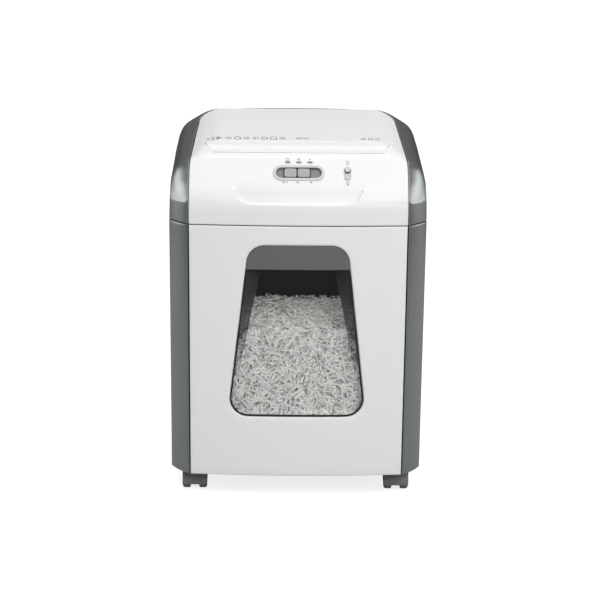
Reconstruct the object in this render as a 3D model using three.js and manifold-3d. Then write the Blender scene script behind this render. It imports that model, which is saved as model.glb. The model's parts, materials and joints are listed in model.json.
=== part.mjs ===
// Paper shredder: a cutting head on a cabinet with a pull-out bin, standing on four twin-wheel casters.
// Millimetres. +Z is up, the front faces -Y and +X is to the right seen from the front.
// The origin is on the floor under the middle of the body.
import * as THREE from "three";
import { mergeVertices } from "three/addons/utils/BufferGeometryUtils.js";
import { ConvexGeometry } from "three/addons/geometries/ConvexGeometry.js";
import Module from "manifold-3d";

const wasm = await Module();
wasm.setup();

// ---------------------------------------------------------------- driving dimensions

// Body
const BODY_WIDTH = 350; // at the seam, its widest
const BODY_DEPTH = 265; // front of the bowed panel to the back
const CABINET_BASE_Z = 31.7; // underside of the cabinet above the floor
const CABINET_HEIGHT = 349.8;
const CABINET_TAPER = 0.013; // share of the width lost from the seam down to the base
const FRONT_BOW = 8.4; // how far the front panel's middle stands in front of its edges
const CORNER_WIDTH = 28; // slanted front corner of each grey side, seen from the front
const CORNER_DEPTH = 40.5; // the same corner seen from the side
const CORNER_CROWN = 4; // outward bulge of the slanted corner
const REAR_RADIUS = 25;
const WALL = 3; // moulded shell thickness
const FIT = 0.35; // clearance between fixed pieces that touch
const RUNNING = 0.4; // clearance round shafts and moving pieces
const PANEL_GAP = 1.4; // dark joint between the white front pieces and the grey sides
const SEAM_GAP = 0.8; // joint between the head and the cabinet

// Head, each pair measured from the crease at the front apex: distance back, rise
const UPRIGHT_BAND = 29; // upright band between the seam and the crease
const PANEL_FOOT = [8.4, 17.5]; // lower end of the flat control panel
const PANEL_HEAD = [36.4, 56]; // upper end of the flat control panel
const LIP_SHOULDER = [42.4, 60.2];
const LIP = [46.4, 62.5]; // front lip of the paper slot
const THROAT_REAR = [78.4, 74]; // rear edge of the paper throat
const TOP_SLOPE = 0.1274; // rise of the top towards the back
const BACK_COVER_DEPTH = 11.6; // top of the dark back cover
const COVER_NARROWING = 6.5; // half width that the white cover loses towards the back
const COVER_REAR_RADIUS = 26;
const SHOULDER = [
  [105, 2], [118, -1.5], [133, -7.2], [142.5, -12.8], [152, -18], [158, -21],
  [163.5, -25], [167, -30], [170.3, -37], [172.5, -43], [174, -52], [175, -62],
]; // half width against drop below the top line

// Paper entry
const SLOT_LENGTH = 230; // takes a 220 mm sheet
const SLOT_WIDTH = 6;
const THROAT_LENGTH = 254; // at its rear edge
const THROAT_DEPTH = 7.5; // upright wall at the rear of the throat
const THROAT_RAMP = 24; // floor of the throat, front to back
const GUIDE_THICKNESS = 2.2;

// Cutting block and drive
const CUTTER_SPACING = 33; // between the two cutter shafts
const CUTTER_DROP = 55; // cutter shafts below the slot lip
const DISC_RADIUS = 18;
const DISC_PITCH = 22;
const DISC_WIDTH = 10;
const HEX_RADIUS = 7.5;
const JOURNAL_RADIUS = 6;
const PLATE_THICKNESS = 2;
const GEAR_GAP = 3; // between neighbouring gear planes
const MOTOR_RADIUS = 31;
const MOTOR_LENGTH = 92;
const MOTOR_SHAFT_RADIUS = 4;
const PIN_RADIUS = 4; // journals of the two stage gears
const ROD_RADIUS = 4;

// Gear train: module, teeth
const CUTTER_MODULE = CUTTER_SPACING / 22;
const CUTTER_TEETH = 22;
const FINAL_MODULE = 1.5;
const FINAL_TEETH = 36;
const SECOND_SMALL_TEETH = 11;
const SECOND_LARGE_TEETH = 40;
const FIRST_SMALL_TEETH = 12;
const FIRST_MODULE = 1;
const FIRST_LARGE_TEETH = 60;
const PINION_TEETH = 10;
const SECOND_ANGLE = 20 * (Math.PI / 180); // direction from the rear cutter shaft to the second stage
const FIRST_ANGLE = -10 * (Math.PI / 180); // direction from the second stage to the first
const MOTOR_ANGLE = 10 * (Math.PI / 180); // direction from the first stage to the motor

// Cord gland in the back cover
const GLAND_RADIUS = 8;
const GLAND_X = -90;
const GLAND_RISE = 22; // above the seam

// Controls, on the flat panel
const SWITCH_LENGTH = 61.6;
const SWITCH_HEIGHT = 15.4;
const SWITCH_RIM = 2.5;
const SLIDER_LENGTH = 40;
const SLIDER_TRAVEL = 8; // each way from the middle
const SLIDER_REST = -2.2; // where it stands
const LOCK_X = 65.5;
const LOCK_WIDTH = 9.4;
const LOCK_HEIGHT = 20;
const LOCK_TRAVEL = 6;
const LAMP_SPACING = 14.9;
const LAMP_LENGTH = 7;
const LAMP_HEIGHT = 2.4;
const LAMP_RISE = 16; // lamps above the switch, along the panel

// Bin and window
const FRONT_DEPTH = 14; // returned edges of the bin front
const WINDOW_HEADROOM = 27; // from the seam down to the top of the window
const WINDOW_BASE_Z = 116.7;
const WINDOW_TOP_HALF = 66.8;
const WINDOW_BASE_HALF = 94.4;
const WINDOW_RADIUS = 25;
const GRIP_HEIGHT = 33; // grey grip strip across the top of the window
const PANE_TOP_HALF = 44; // inner face of the leaning pane, top and bottom
const PANE_BASE_HALF = 89;
const PANE_TOP_DEPTH = 27; // finger room behind the grip
const PANE_BASE_DEPTH = 5; // both depths behind the bin front's wall
const PANE_THICKNESS = 1.6;
const BUCKET_WIDTH = 258;
const BUCKET_HEADROOM = 33.5; // from the seam down to the rim of the bucket
const BUCKET_FLOOR_Z = 40;
const BUCKET_WALL = 2.4;
const HEAP_TOP_Z = 234; // level of the shreds

// Casters
const CASTER_X = 140.3;
const CASTER_INSET_Y = 34.9; // from the front edge and from the back
const WHEEL_RADIUS = 13.5;
const WHEEL_SIDES = 16;
const WHEEL_WIDTH = 11.4;
const CASTER_WIDTH = 34;
const CASTER_TRAIL = 7;
const FENDER_THICKNESS = 1.8;
const STEM_RADIUS = 5;
const STEM_LENGTH = 17;
const AXLE_RADIUS = 2.2;

// ---------------------------------------------------------------- derived places

const SEAM_Z = CABINET_BASE_Z + CABINET_HEIGHT;
const WINDOW_TOP_Z = SEAM_Z - WINDOW_HEADROOM;
const BUCKET_TOP_Z = SEAM_Z - BUCKET_HEADROOM;
const CREASE_Z = SEAM_Z + UPRIGHT_BAND;
const HALF_WIDTH = BODY_WIDTH / 2;
const FRONT_HALF = HALF_WIDTH - CORNER_WIDTH;
const FRONT_Y = -BODY_DEPTH / 2;
const REAR_Y = BODY_DEPTH / 2;
const EDGE_Y = FRONT_Y + FRONT_BOW; // front panel's upright edges
const BACK_COVER_Y = REAR_Y - BACK_COVER_DEPTH;
const LIP_Y = FRONT_Y + LIP[0];
const LIP_Z = CREASE_Z + LIP[1];
const THROAT_REAR_Y = FRONT_Y + THROAT_REAR[0];
const THROAT_REAR_Z = CREASE_Z + THROAT_REAR[1];
const TOP_Z = THROAT_REAR_Z + (BACK_COVER_Y - THROAT_REAR_Y) * TOP_SLOPE;
const SLOT_Y = LIP_Y + SLOT_WIDTH / 2;
const GLAND_Z = SEAM_Z + GLAND_RISE;
const CUTTER_Z = LIP_Z - CUTTER_DROP;
const BASE_PLATE_Z = SEAM_Z + 1; // underside of the head's base plate
const BASE_PLATE = 3.5;
const BLOCK_Z = BASE_PLATE_Z + BASE_PLATE + FIT; // foot of everything that stands on the base plate
const BLOCK_HALF = SLOT_LENGTH / 2 + 3.6; // inner faces of the cutting block's side plates

const group = new THREE.Group();

// ---------------------------------------------------------------- finishes

function finish(color, roughness, metalness) {
  return new THREE.MeshStandardMaterial({ color, roughness, metalness });
}

const WHITE_ABS = finish("#f0f0ef", 0.45, 0);
const SILVER_GREY = finish("#7c8080", 0.4, 0.35);
const DARK_GREY = finish("#4c4e50", 0.55, 0);
const SWITCH_GREY = finish("#b9bbbc", 0.45, 0);
const BLACK = finish("#1d1d1e", 0.6, 0);
const STEEL = finish("#a9abad", 0.35, 0.9);
const ZINC = finish("#c4c7c8", 0.4, 0.8);
const GEAR_NYLON = finish("#e4dfd0", 0.5, 0);
const CLEAR = finish("#5b5e60", 0.15, 0);
const LAMP = finish("#dfe8e2", 0.25, 0);
const PAPER = finish("#e9e8e4", 0.9, 0);
const BOARD = finish("#2f6b3c", 0.6, 0);
const RUBBER = finish("#5c5c5d", 0.7, 0);

// ---------------------------------------------------------------- solids

function solid(geometry) {
  const bare = geometry.index ? geometry.toNonIndexed() : geometry.clone();
  for (const name of Object.keys(bare.attributes)) {
    if (name !== "position") bare.deleteAttribute(name);
  }
  const merged = mergeVertices(bare, 1e-4);
  return new wasm.Manifold(
    new wasm.Mesh({
      numProp: 3,
      vertProperties: merged.attributes.position.array,
      triVerts: new Uint32Array(merged.index.array),
    }),
  );
}

function geometryOf(manifold) {
  const result = manifold.getMesh();
  const geometry = new THREE.BufferGeometry();
  geometry.setAttribute("position", new THREE.BufferAttribute(result.vertProperties, result.numProp));
  geometry.setIndex(new THREE.BufferAttribute(result.triVerts, 1));
  return geometry;
}

function addPiece(name, manifold, material, parent = group) {
  const geometry = geometryOf(manifold).toNonIndexed();
  geometry.computeVertexNormals();
  const mesh = new THREE.Mesh(geometry, material);
  mesh.name = name;
  parent.add(mesh);
  return mesh;
}

function join(pieces) {
  return pieces.reduce((sum, piece) => sum.add(piece));
}

function box(x0, x1, y0, y1, z0, z1) {
  const geometry = new THREE.BoxGeometry(x1 - x0, y1 - y0, z1 - z0);
  geometry.translate((x0 + x1) / 2, (y0 + y1) / 2, (z0 + z1) / 2);
  return solid(geometry);
}

// A round bar along an axis, from one end to the other at a centre in the two other axes.
function bar(axis, radius, from, to, centre, segments = 12) {
  const geometry = new THREE.CylinderGeometry(radius, radius, to - from, segments);
  const middle = (from + to) / 2;
  if (axis === "x") {
    geometry.rotateZ(Math.PI / 2);
    geometry.translate(middle, centre[0], centre[1]);
  } else if (axis === "y") {
    geometry.translate(centre[0], middle, centre[1]);
  } else {
    geometry.rotateX(Math.PI / 2);
    geometry.translate(centre[0], centre[1], middle);
  }
  return solid(geometry);
}

function extrude(shape, depth, segments = 6, steps = 1) {
  return new THREE.ExtrudeGeometry(shape, { depth, steps, curveSegments: segments, bevelEnabled: false });
}

// Upright prism from a plan outline.
function prismZ(shape, z0, z1, segments) {
  return solid(extrude(shape, z1 - z0, segments).translate(0, 0, z0));
}

// Prism along X from an outline in Y and Z.
function prismX(shape, x0, x1, segments) {
  const turn = new THREE.Matrix4().makeBasis(
    new THREE.Vector3(0, 1, 0), new THREE.Vector3(0, 0, 1), new THREE.Vector3(1, 0, 0),
  );
  return solid(extrude(shape, x1 - x0, segments).applyMatrix4(turn).translate(x0, 0, 0));
}

// Prism along Y from an outline in X and Z.
function prismY(shape, y0, y1, segments) {
  const turn = new THREE.Matrix4().makeBasis(
    new THREE.Vector3(1, 0, 0), new THREE.Vector3(0, 0, 1), new THREE.Vector3(0, -1, 0),
  );
  return solid(extrude(shape, y1 - y0, segments).applyMatrix4(turn).translate(0, y1, 0));
}

function outline(points) {
  return new THREE.Shape(points.map(([a, b]) => new THREE.Vector2(a, b)));
}

function moveVertices(geometry, move) {
  const position = geometry.attributes.position;
  const point = new THREE.Vector3();
  for (let i = 0; i < position.count; i += 1) {
    point.fromBufferAttribute(position, i);
    move(point);
    position.setXYZ(i, point.x, point.y, point.z);
  }
  return geometry;
}

// A slot shape with round ends: length along the first axis.
function stadium(length, height, segments = 6) {
  const radius = Math.min(length, height) / 2;
  const alongX = length > height;
  const reach = Math.max(length, height) / 2 - radius;
  const points = [];
  for (let i = 0; i <= 2 * segments + 1; i += 1) {
    const second = i > segments;
    const step = second ? i - 1 : i;
    const angle = -Math.PI / 2 + (step / segments) * Math.PI;
    const along = radius * Math.cos(angle) + (second ? -reach : reach);
    const across = radius * Math.sin(angle);
    points.push(alongX ? [along, across] : [-across, along]);
  }
  return outline(points);
}

// ---------------------------------------------------------------- body outlines

// Plan of the body at the seam, drawn in from its outer face by an inset.
function bodyOutline(inset) {
  const half = HALF_WIDTH - inset;
  const frontHalf = FRONT_HALF - inset * 0.4;
  const edgeY = EDGE_Y + inset;
  const cornerY = EDGE_Y + CORNER_DEPTH + inset * 0.3;
  const rearY = REAR_Y - inset;
  const radius = REAR_RADIUS - inset;
  const crownX = (frontHalf + half) / 2 + CORNER_CROWN;
  const crownY = (edgeY + cornerY) / 2 - CORNER_CROWN;
  const shape = new THREE.Shape();
  shape.moveTo(frontHalf, edgeY);
  shape.quadraticCurveTo(crownX, crownY, half, cornerY);
  shape.lineTo(half, rearY - radius);
  shape.absarc(half - radius, rearY - radius, radius, 0, Math.PI / 2, false);
  shape.lineTo(radius - half, rearY);
  shape.absarc(radius - half, rearY - radius, radius, Math.PI / 2, Math.PI, false);
  shape.lineTo(-half, cornerY);
  shape.quadraticCurveTo(-crownX, crownY, -frontHalf, edgeY);
  const steps = 8;
  for (let i = 1; i < steps; i += 1) {
    const share = (2 * i) / steps - 1;
    shape.lineTo(frontHalf * share, edgeY - FRONT_BOW * (1 - share * share));
  }
  return shape;
}

// Levels of the head: height, how far its front has moved back, how flat its bow has become, side draw-in.
const HEAD_LEVELS = [
  { z: SEAM_Z, back: 0, flat: 0, side: 0 },
  { z: CREASE_Z, back: 0, flat: 0, side: 0.8 },
  { z: CREASE_Z + PANEL_FOOT[1], back: PANEL_FOOT[0], flat: 0.28, side: 1.6 },
  { z: CREASE_Z + PANEL_HEAD[1], back: PANEL_HEAD[0], flat: 0.88, side: 3 },
  { z: CREASE_Z + LIP_SHOULDER[1], back: LIP_SHOULDER[0], flat: 0.96, side: 3.5 },
  { z: CREASE_Z + LIP[1], back: LIP[0], flat: 1, side: 4 },
  { z: CREASE_Z + THROAT_REAR[1], back: THROAT_REAR[0], flat: 1, side: 5 },
  { z: TOP_Z + 20, back: THROAT_REAR[0], flat: 1, side: 6 },
];

// The head as one solid block: an upright band, then a front that leans back, under a sloping top.
function headBlock(inset) {
  const levels = HEAD_LEVELS.length - 1;
  const geometry = extrude(bodyOutline(inset), levels, 5, levels);
  const apexY = FRONT_Y + inset;
  const cornerEnd = EDGE_Y + CORNER_DEPTH + inset * 0.3 + 0.01;
  moveVertices(geometry, (p) => {
    const level = HEAD_LEVELS[Math.round(p.z)];
    if (p.y < cornerEnd) {
      const bowed = Math.min(p.y - apexY, FRONT_BOW);
      p.y += level.back - level.flat * bowed;
    }
    p.x -= (level.side * p.x) / HALF_WIDTH;
    p.z = level.z;
  });
  return solid(geometry).intersect(topProfile(inset)).intersect(shoulderSection(inset));
}

// Side view of everything under the top surface.
function topProfile(inset) {
  const over = 30;
  return prismX(
    outline([
      [FRONT_Y - over, SEAM_Z - over],
      [REAR_Y + over, SEAM_Z - over],
      [REAR_Y + over, TOP_Z - 9 - inset],
      [REAR_Y, TOP_Z - 9 - inset],
      [REAR_Y - 3.5 - inset * 0.4, TOP_Z - 2.5 - inset],
      [BACK_COVER_Y, TOP_Z - inset],
      [THROAT_REAR_Y, THROAT_REAR_Z - inset],
      [LIP_Y + inset * 0.5, LIP_Z - inset],
      [FRONT_Y - over, LIP_Z - inset],
    ]),
    -HALF_WIDTH - over, HALF_WIDTH + over,
  );
}

// Front view of the rounded shoulders, sheared so that they follow the sloping top.
function shoulderSection(inset) {
  const widen = HALF_WIDTH - SHOULDER.at(-1)[0];
  const side = SHOULDER.map(([x, drop]) => {
    const steep = drop < -30;
    return [x + widen - inset * (steep ? 1 : 0.5), TOP_Z + drop - inset * (steep ? 0.4 : 1)];
  });
  const foot = [side.at(-1)[0] + 3, SEAM_Z - 60];
  const right = [...side, foot];
  const left = right.map(([x, z]) => [-x, z]).reverse();
  const geometry = extrude(outline([...left, ...right]), 3 * BODY_DEPTH, 1);
  geometry.rotateX(Math.PI / 2);
  geometry.translate(0, BACK_COVER_Y + BODY_DEPTH, 0);
  moveVertices(geometry, (p) => {
    p.z += (p.y - BACK_COVER_Y) * TOP_SLOPE;
  });
  return solid(geometry);
}

// Plan of the white cover, grown outwards by a margin.
function coverOutline(margin) {
  const rearHalf = FRONT_HALF - COVER_NARROWING + margin;
  const rearY = BACK_COVER_Y + margin;
  const radius = COVER_REAR_RADIUS;
  const shape = new THREE.Shape();
  shape.moveTo(FRONT_HALF + margin, FRONT_Y - 10);
  shape.lineTo(FRONT_HALF + margin, EDGE_Y);
  shape.lineTo(rearHalf, rearY - radius);
  shape.absarc(rearHalf - radius, rearY - radius, radius, 0, Math.PI / 2, false);
  shape.lineTo(radius - rearHalf, rearY);
  shape.absarc(radius - rearHalf, rearY - radius, radius, Math.PI / 2, Math.PI, false);
  shape.lineTo(-FRONT_HALF - margin, EDGE_Y);
  shape.lineTo(-FRONT_HALF - margin, FRONT_Y - 10);
  return shape;
}

const BACK_COVER_HALF = FRONT_HALF - COVER_NARROWING - COVER_REAR_RADIUS;
const headFootZ = SEAM_Z + SEAM_GAP / 2;

// ---------------------------------------------------------------- control panel frame

const PANEL_TILT = Math.atan2(PANEL_HEAD[1] - PANEL_FOOT[1], PANEL_HEAD[0] - PANEL_FOOT[0]);
const PANEL_SHARE = 0.56; // height of the switch on the flat panel
const panel = new THREE.Group();
panel.position.set(
  0,
  FRONT_Y + PANEL_FOOT[0] + (PANEL_HEAD[0] - PANEL_FOOT[0]) * PANEL_SHARE,
  CREASE_Z + PANEL_FOOT[1] + (PANEL_HEAD[1] - PANEL_FOOT[1]) * PANEL_SHARE,
);
panel.rotation.x = PANEL_TILT;
panel.updateMatrixWorld(true);
group.add(panel);

// A cutter through the panel: outline in the panel's own plane, from a depth to a height along its normal.
function panelPrism(shape, x, y, low, high) {
  return solid(extrude(shape, high - low).translate(x, y, low).applyMatrix4(panel.matrix));
}

// ---------------------------------------------------------------- head shells

function makeHeadShells() {
  const shell = headBlock(0)
    .subtract(headBlock(WALL))
    .intersect(box(-HALF_WIDTH - 5, HALF_WIDTH + 5, FRONT_Y - 5, REAR_Y + 5, headFootZ, TOP_Z + 30));
  const above = [SEAM_Z - 5, TOP_Z + 40];
  const cover = shell.intersect(prismZ(coverOutline(0), ...above));
  const backRegion = (margin) =>
    box(-BACK_COVER_HALF - margin, BACK_COVER_HALF + margin, BACK_COVER_Y - 5, REAR_Y + 10, ...above);
  const notCover = shell.subtract(prismZ(coverOutline(PANEL_GAP), ...above));
  const sides = notCover.subtract(backRegion(FIT));
  addPiece("head_cover", cutThroat(cutPanel(cover)), WHITE_ABS);
  const halfBox = (sign) =>
    box(Math.min(0, sign * 400), Math.max(0, sign * 400), -400, 400, 0, 900);
  addPiece("head_side_left", sides.intersect(halfBox(-1)), SILVER_GREY);
  addPiece("head_side_right", sides.intersect(halfBox(1)), SILVER_GREY);
  addPiece("head_back_cover", cutVents(notCover.intersect(backRegion(0))), DARK_GREY);
}

// Openings for the switch, the lock and the lamps.
function cutPanel(cover) {
  const through = [-12, 12];
  const cuts = [
    panelPrism(stadium(SWITCH_LENGTH + 2 * FIT, SWITCH_HEIGHT + 2 * FIT), 0, 0, ...through),
    panelPrism(stadium(LOCK_WIDTH - 2, LOCK_HEIGHT - 2), LOCK_X, 0, ...through),
  ];
  const lampHole = stadium(LAMP_LENGTH + 2 * FIT, LAMP_HEIGHT + 2 * FIT, 3);
  for (const step of [-1, 0, 1]) {
    cuts.push(panelPrism(lampHole, step * LAMP_SPACING, LAMP_RISE, ...through));
  }
  return cover.subtract(join(cuts));
}

// The throat sinks behind the lip: an upright rear wall and a floor that falls forward to the slot.
function cutThroat(cover) {
  const floorRear = THROAT_REAR_Z - THROAT_DEPTH;
  const floorFront = LIP_Z + 1.5;
  const rampY = LIP_Y + SLOT_WIDTH;
  const rearY = rampY + THROAT_RAMP;
  const high = TOP_Z;
  const profile = (drop) => [
    [LIP_Y + drop * 0.3, high],
    [LIP_Y + drop * 0.3, floorFront - drop],
    [rearY, floorRear - drop],
    [THROAT_REAR_Y + drop, THROAT_REAR_Z],
    [THROAT_REAR_Y + drop, high],
  ];
  const taper = (geometry, grow) =>
    moveVertices(geometry, (p) => {
      const rise = Math.min(1, Math.max(0, (p.y - LIP_Y) / (THROAT_REAR_Y - LIP_Y)));
      const half = (SLOT_LENGTH + (THROAT_LENGTH - SLOT_LENGTH) * rise) / 2 + grow;
      p.x = Math.sign(p.x) * half;
    });
  const turn = new THREE.Matrix4().makeBasis(
    new THREE.Vector3(0, 1, 0), new THREE.Vector3(0, 0, 1), new THREE.Vector3(1, 0, 0),
  );
  const trough = (drop, grow) =>
    solid(taper(extrude(outline(profile(drop)), 2).applyMatrix4(turn).translate(-1, 0, 0), grow));
  const liner = trough(WALL * 0.8, WALL * 0.8).intersect(headBlock(0.2));
  const slot = box(-SLOT_LENGTH / 2, SLOT_LENGTH / 2, LIP_Y, LIP_Y + SLOT_WIDTH, LIP_Z - 30, TOP_Z);
  return cover.add(liner).subtract(trough(0, 0)).subtract(slot);
}

// Cooling slots and the round cord hole in the back cover.
function cutVents(cover) {
  const cuts = [];
  const count = 9;
  for (let i = 0; i < count; i += 1) {
    const x = 20 + i * 9;
    cuts.push(box(x, x + 4, REAR_Y - 10, REAR_Y + 10, CREASE_Z - 5, CREASE_Z + 45));
  }
  cuts.push(bar("y", GLAND_RADIUS + FIT, REAR_Y - 10, REAR_Y + 10, [GLAND_X, GLAND_Z]));
  return cover.subtract(join(cuts));
}

function makeCordGland() {
  const body = bar("y", GLAND_RADIUS, REAR_Y - 8, REAR_Y - WALL * 0.4, [GLAND_X, GLAND_Z]);
  const flange = bar("y", GLAND_RADIUS + 3, REAR_Y - 8, REAR_Y - WALL - FIT, [GLAND_X, GLAND_Z]);
  const hole = bar("y", 3.6, REAR_Y - 20, REAR_Y + 10, [GLAND_X, GLAND_Z]);
  addPiece("cord_gland", body.add(flange).subtract(hole), BLACK);
}

// ---------------------------------------------------------------- controls

function makeModeSwitch() {
  const rim = 1.2;
  const floor = -4;
  const plateShape = stadium(SWITCH_LENGTH + 2 * SWITCH_RIM, SWITCH_HEIGHT + 2 * SWITCH_RIM);
  const plate = solid(extrude(plateShape, rim).translate(0, 0, 0.3));
  const body = solid(extrude(stadium(SWITCH_LENGTH, SWITCH_HEIGHT), 7).translate(0, 0, -6.6));
  const well = solid(extrude(stadium(SWITCH_LENGTH - 3, SWITCH_HEIGHT - 3), 12).translate(0, 0, floor));
  const keyway = solid(extrude(stadium(2 * SLIDER_TRAVEL + 12, 5), 12).translate(0, 0, -10));
  addPiece("mode_switch_bezel", plate.add(body).subtract(well).subtract(keyway), WHITE_ABS, panel);

  const height = SWITCH_HEIGHT - 3 - 2 * RUNNING;
  const carrier = solid(extrude(stadium(SLIDER_LENGTH, height), 2).translate(0, 0, floor + RUNNING));
  const pads = [-1, 1].map((side) =>
    solid(extrude(stadium(SLIDER_LENGTH / 2 - 4, height - 1.5), 4.2).translate(side * 8.8, 0, floor + 1)),
  );
  const stem = solid(new THREE.BoxGeometry(8, 3.6, 6).translate(0, 0, floor - 2));
  const slider = addPiece("mode_switch", join([carrier, ...pads, stem]), SWITCH_GREY, panel);
  slider.position.x = SLIDER_REST;
}

function makeLockSwitch() {
  const plate = solid(extrude(stadium(LOCK_WIDTH, LOCK_HEIGHT), 1.4).translate(LOCK_X, 0, 0.3));
  const body = solid(extrude(stadium(LOCK_WIDTH - 2.8, LOCK_HEIGHT - 2.8), 6).translate(LOCK_X, 0, -5));
  const keyway = solid(extrude(stadium(3.4, LOCK_HEIGHT - 5), 20).translate(LOCK_X, 0, -10));
  addPiece("lock_bezel", plate.add(body).subtract(keyway), WHITE_ABS, panel);

  const knob = bar("z", 4.1, 2.1, 5.4, [LOCK_X, LOCK_TRAVEL / 2]);
  const stem = bar("z", 1.3, -4, 3, [LOCK_X, LOCK_TRAVEL / 2], 10);
  addPiece("lock_knob", knob.add(stem), SWITCH_GREY, panel);
}

function makeLamps() {
  const names = ["indicator_left", "indicator_middle", "indicator_right"];
  names.forEach((name, i) => {
    const pipe = extrude(stadium(LAMP_LENGTH, LAMP_HEIGHT, 3), 9);
    addPiece(name, solid(pipe.translate((i - 1) * LAMP_SPACING, LAMP_RISE, -8)), LAMP, panel);
  });
}

// ---------------------------------------------------------------- paper entry

const LEVER_PIVOT = [SLOT_Y + 14, LIP_Z - 17];
const LEVER_PIN_RADIUS = 1.5;
const LEVER_WIDTH = 5;

function makePaperGuides() {
  const half = SLOT_LENGTH / 2;
  const foot = CUTTER_Z + 16;
  const front = LIP_Y - FIT;
  const rear = LIP_Y + SLOT_WIDTH + FIT;
  const frontPlate = box(-half, half, front - GUIDE_THICKNESS, front, foot, LIP_Z - 8);
  addPiece("front_paper_guide", frontPlate, ZINC);

  const rearPlate = box(-half, half, rear, rear + GUIDE_THICKNESS, foot, LIP_Z - 4);
  const notch = box(-LEVER_WIDTH, LEVER_WIDTH, rear - 2, rear + 6, LEVER_PIVOT[1] - 12, LEVER_PIVOT[1] + 6);
  const [pivotY, pivotZ] = LEVER_PIVOT;
  const ears = [-1, 1].map((side) => {
    const x = side * (LEVER_WIDTH + 2);
    return box(x - 1.5, x + 1.5, rear + 1, pivotY + 4, pivotZ - 5, pivotZ + 5);
  });
  const bore = bar("x", LEVER_PIN_RADIUS + RUNNING, -12, 12, LEVER_PIVOT, 12);
  addPiece("rear_paper_guide", join([rearPlate.subtract(notch), ...ears]).subtract(bore), ZINC);
}

function makeSensorLever() {
  const [pivotY, pivotZ] = LEVER_PIVOT;
  const boss = bar("x", 3.2, -LEVER_WIDTH / 2, LEVER_WIDTH / 2, LEVER_PIVOT, 12);
  const pin = bar("x", LEVER_PIN_RADIUS, -9, 9, LEVER_PIVOT, 10);
  const tip = LIP_Y + 1;
  const arm = box(-LEVER_WIDTH / 2, LEVER_WIDTH / 2, tip, pivotY, pivotZ - 1.2, pivotZ + 1.6);
  addPiece("paper_sensor_lever", join([boss, pin, arm]), BLACK);
}

// ---------------------------------------------------------------- gears

// Outline of a spur gear: involute flanks, a short addendum and backlash so that faceted teeth run free.
function gearOutline(teeth, module, phase) {
  const pressure = (20 * Math.PI) / 180;
  const addendum = 0.75;
  const dedendum = 1.15;
  const backlash = 0.25;
  const involute = (angle) => Math.tan(angle) - angle;
  const pitch = (teeth * module) / 2;
  const base = pitch * Math.cos(pressure);
  const tip = pitch + addendum * module;
  const root = pitch - dedendum * module;
  const atBase = Math.PI / (2 * teeth) - (backlash * module) / (2 * pitch) + involute(pressure);
  const start = Math.max(base, root);
  const flank = base - root > 0.3 * module ? [[root, atBase]] : [];
  for (const share of [0, 1]) {
    const radius = start + (tip - start) * share;
    flank.push([radius, atBase - involute(Math.acos(Math.min(1, base / radius)))]);
  }
  const points = [];
  for (let tooth = 0; tooth < teeth; tooth += 1) {
    const middle = phase + (2 * Math.PI * tooth) / teeth;
    for (const [radius, half] of flank) {
      points.push([radius * Math.cos(middle - half), radius * Math.sin(middle - half)]);
    }
    for (const [radius, half] of [...flank].reverse()) {
      points.push([radius * Math.cos(middle + half), radius * Math.sin(middle + half)]);
    }
  }
  return points;
}

function gear(teeth, module, phase, centre, x0, x1) {
  const points = gearOutline(teeth, module, phase).map(([y, z]) => [y + centre[0], z + centre[1]]);
  return prismX(outline(points), x0, x1);
}

function along(centre, angle, distance) {
  return [centre[0] + distance * Math.cos(angle), centre[1] + distance * Math.sin(angle)];
}

const FRONT_SHAFT = [SLOT_Y - CUTTER_SPACING / 2, CUTTER_Z];
const REAR_SHAFT = [SLOT_Y + CUTTER_SPACING / 2, CUTTER_Z];
const SECOND_STAGE = along(REAR_SHAFT, SECOND_ANGLE, (FINAL_MODULE * (FINAL_TEETH + SECOND_SMALL_TEETH)) / 2);
const FIRST_STAGE = along(
  SECOND_STAGE, FIRST_ANGLE, (FINAL_MODULE * (SECOND_LARGE_TEETH + FIRST_SMALL_TEETH)) / 2,
);
const MOTOR_AXIS = along(FIRST_STAGE, MOTOR_ANGLE, (FIRST_MODULE * (FIRST_LARGE_TEETH + PINION_TEETH)) / 2);

// The four gear planes outside the right-hand side plate.
const PLATE_X = BLOCK_HALF;
const PAIR_X = [PLATE_X + PLATE_THICKNESS + 1.4, PLATE_X + PLATE_THICKNESS + 8.4];
const FINAL_X = [PAIR_X[1] + GEAR_GAP, PAIR_X[1] + GEAR_GAP + 7];
const LARGE_X = [FINAL_X[1] + GEAR_GAP, FINAL_X[1] + GEAR_GAP + 6];
const FAST_X = [LARGE_X[1] + GEAR_GAP, LARGE_X[1] + GEAR_GAP + 5];
const OUTER_PLATE_X = FAST_X[1] + 3;

function makeCutter(name, centre, count, lastX) {
  const pieces = [
    bar("x", JOURNAL_RADIUS, -BLOCK_HALF - PLATE_THICKNESS - 3, lastX, centre, 12),
    bar("x", HEX_RADIUS, -BLOCK_HALF + 1, BLOCK_HALF - 1, centre, 6),
  ];
  for (let i = 0; i < count; i += 1) {
    const x = (i - (count - 1) / 2) * DISC_PITCH;
    pieces.push(bar("x", DISC_RADIUS, x - DISC_WIDTH / 2, x + DISC_WIDTH / 2, centre, 14));
  }
  addPiece(name, join(pieces), STEEL);
}

function makeCutters() {
  const discs = Math.floor((2 * BLOCK_HALF - 4) / DISC_PITCH);
  makeCutter("front_cutter", FRONT_SHAFT, discs, PAIR_X[1] + 1);
  makeCutter("rear_cutter", REAR_SHAFT, discs - 1, FINAL_X[1] + 1);
}

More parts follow.
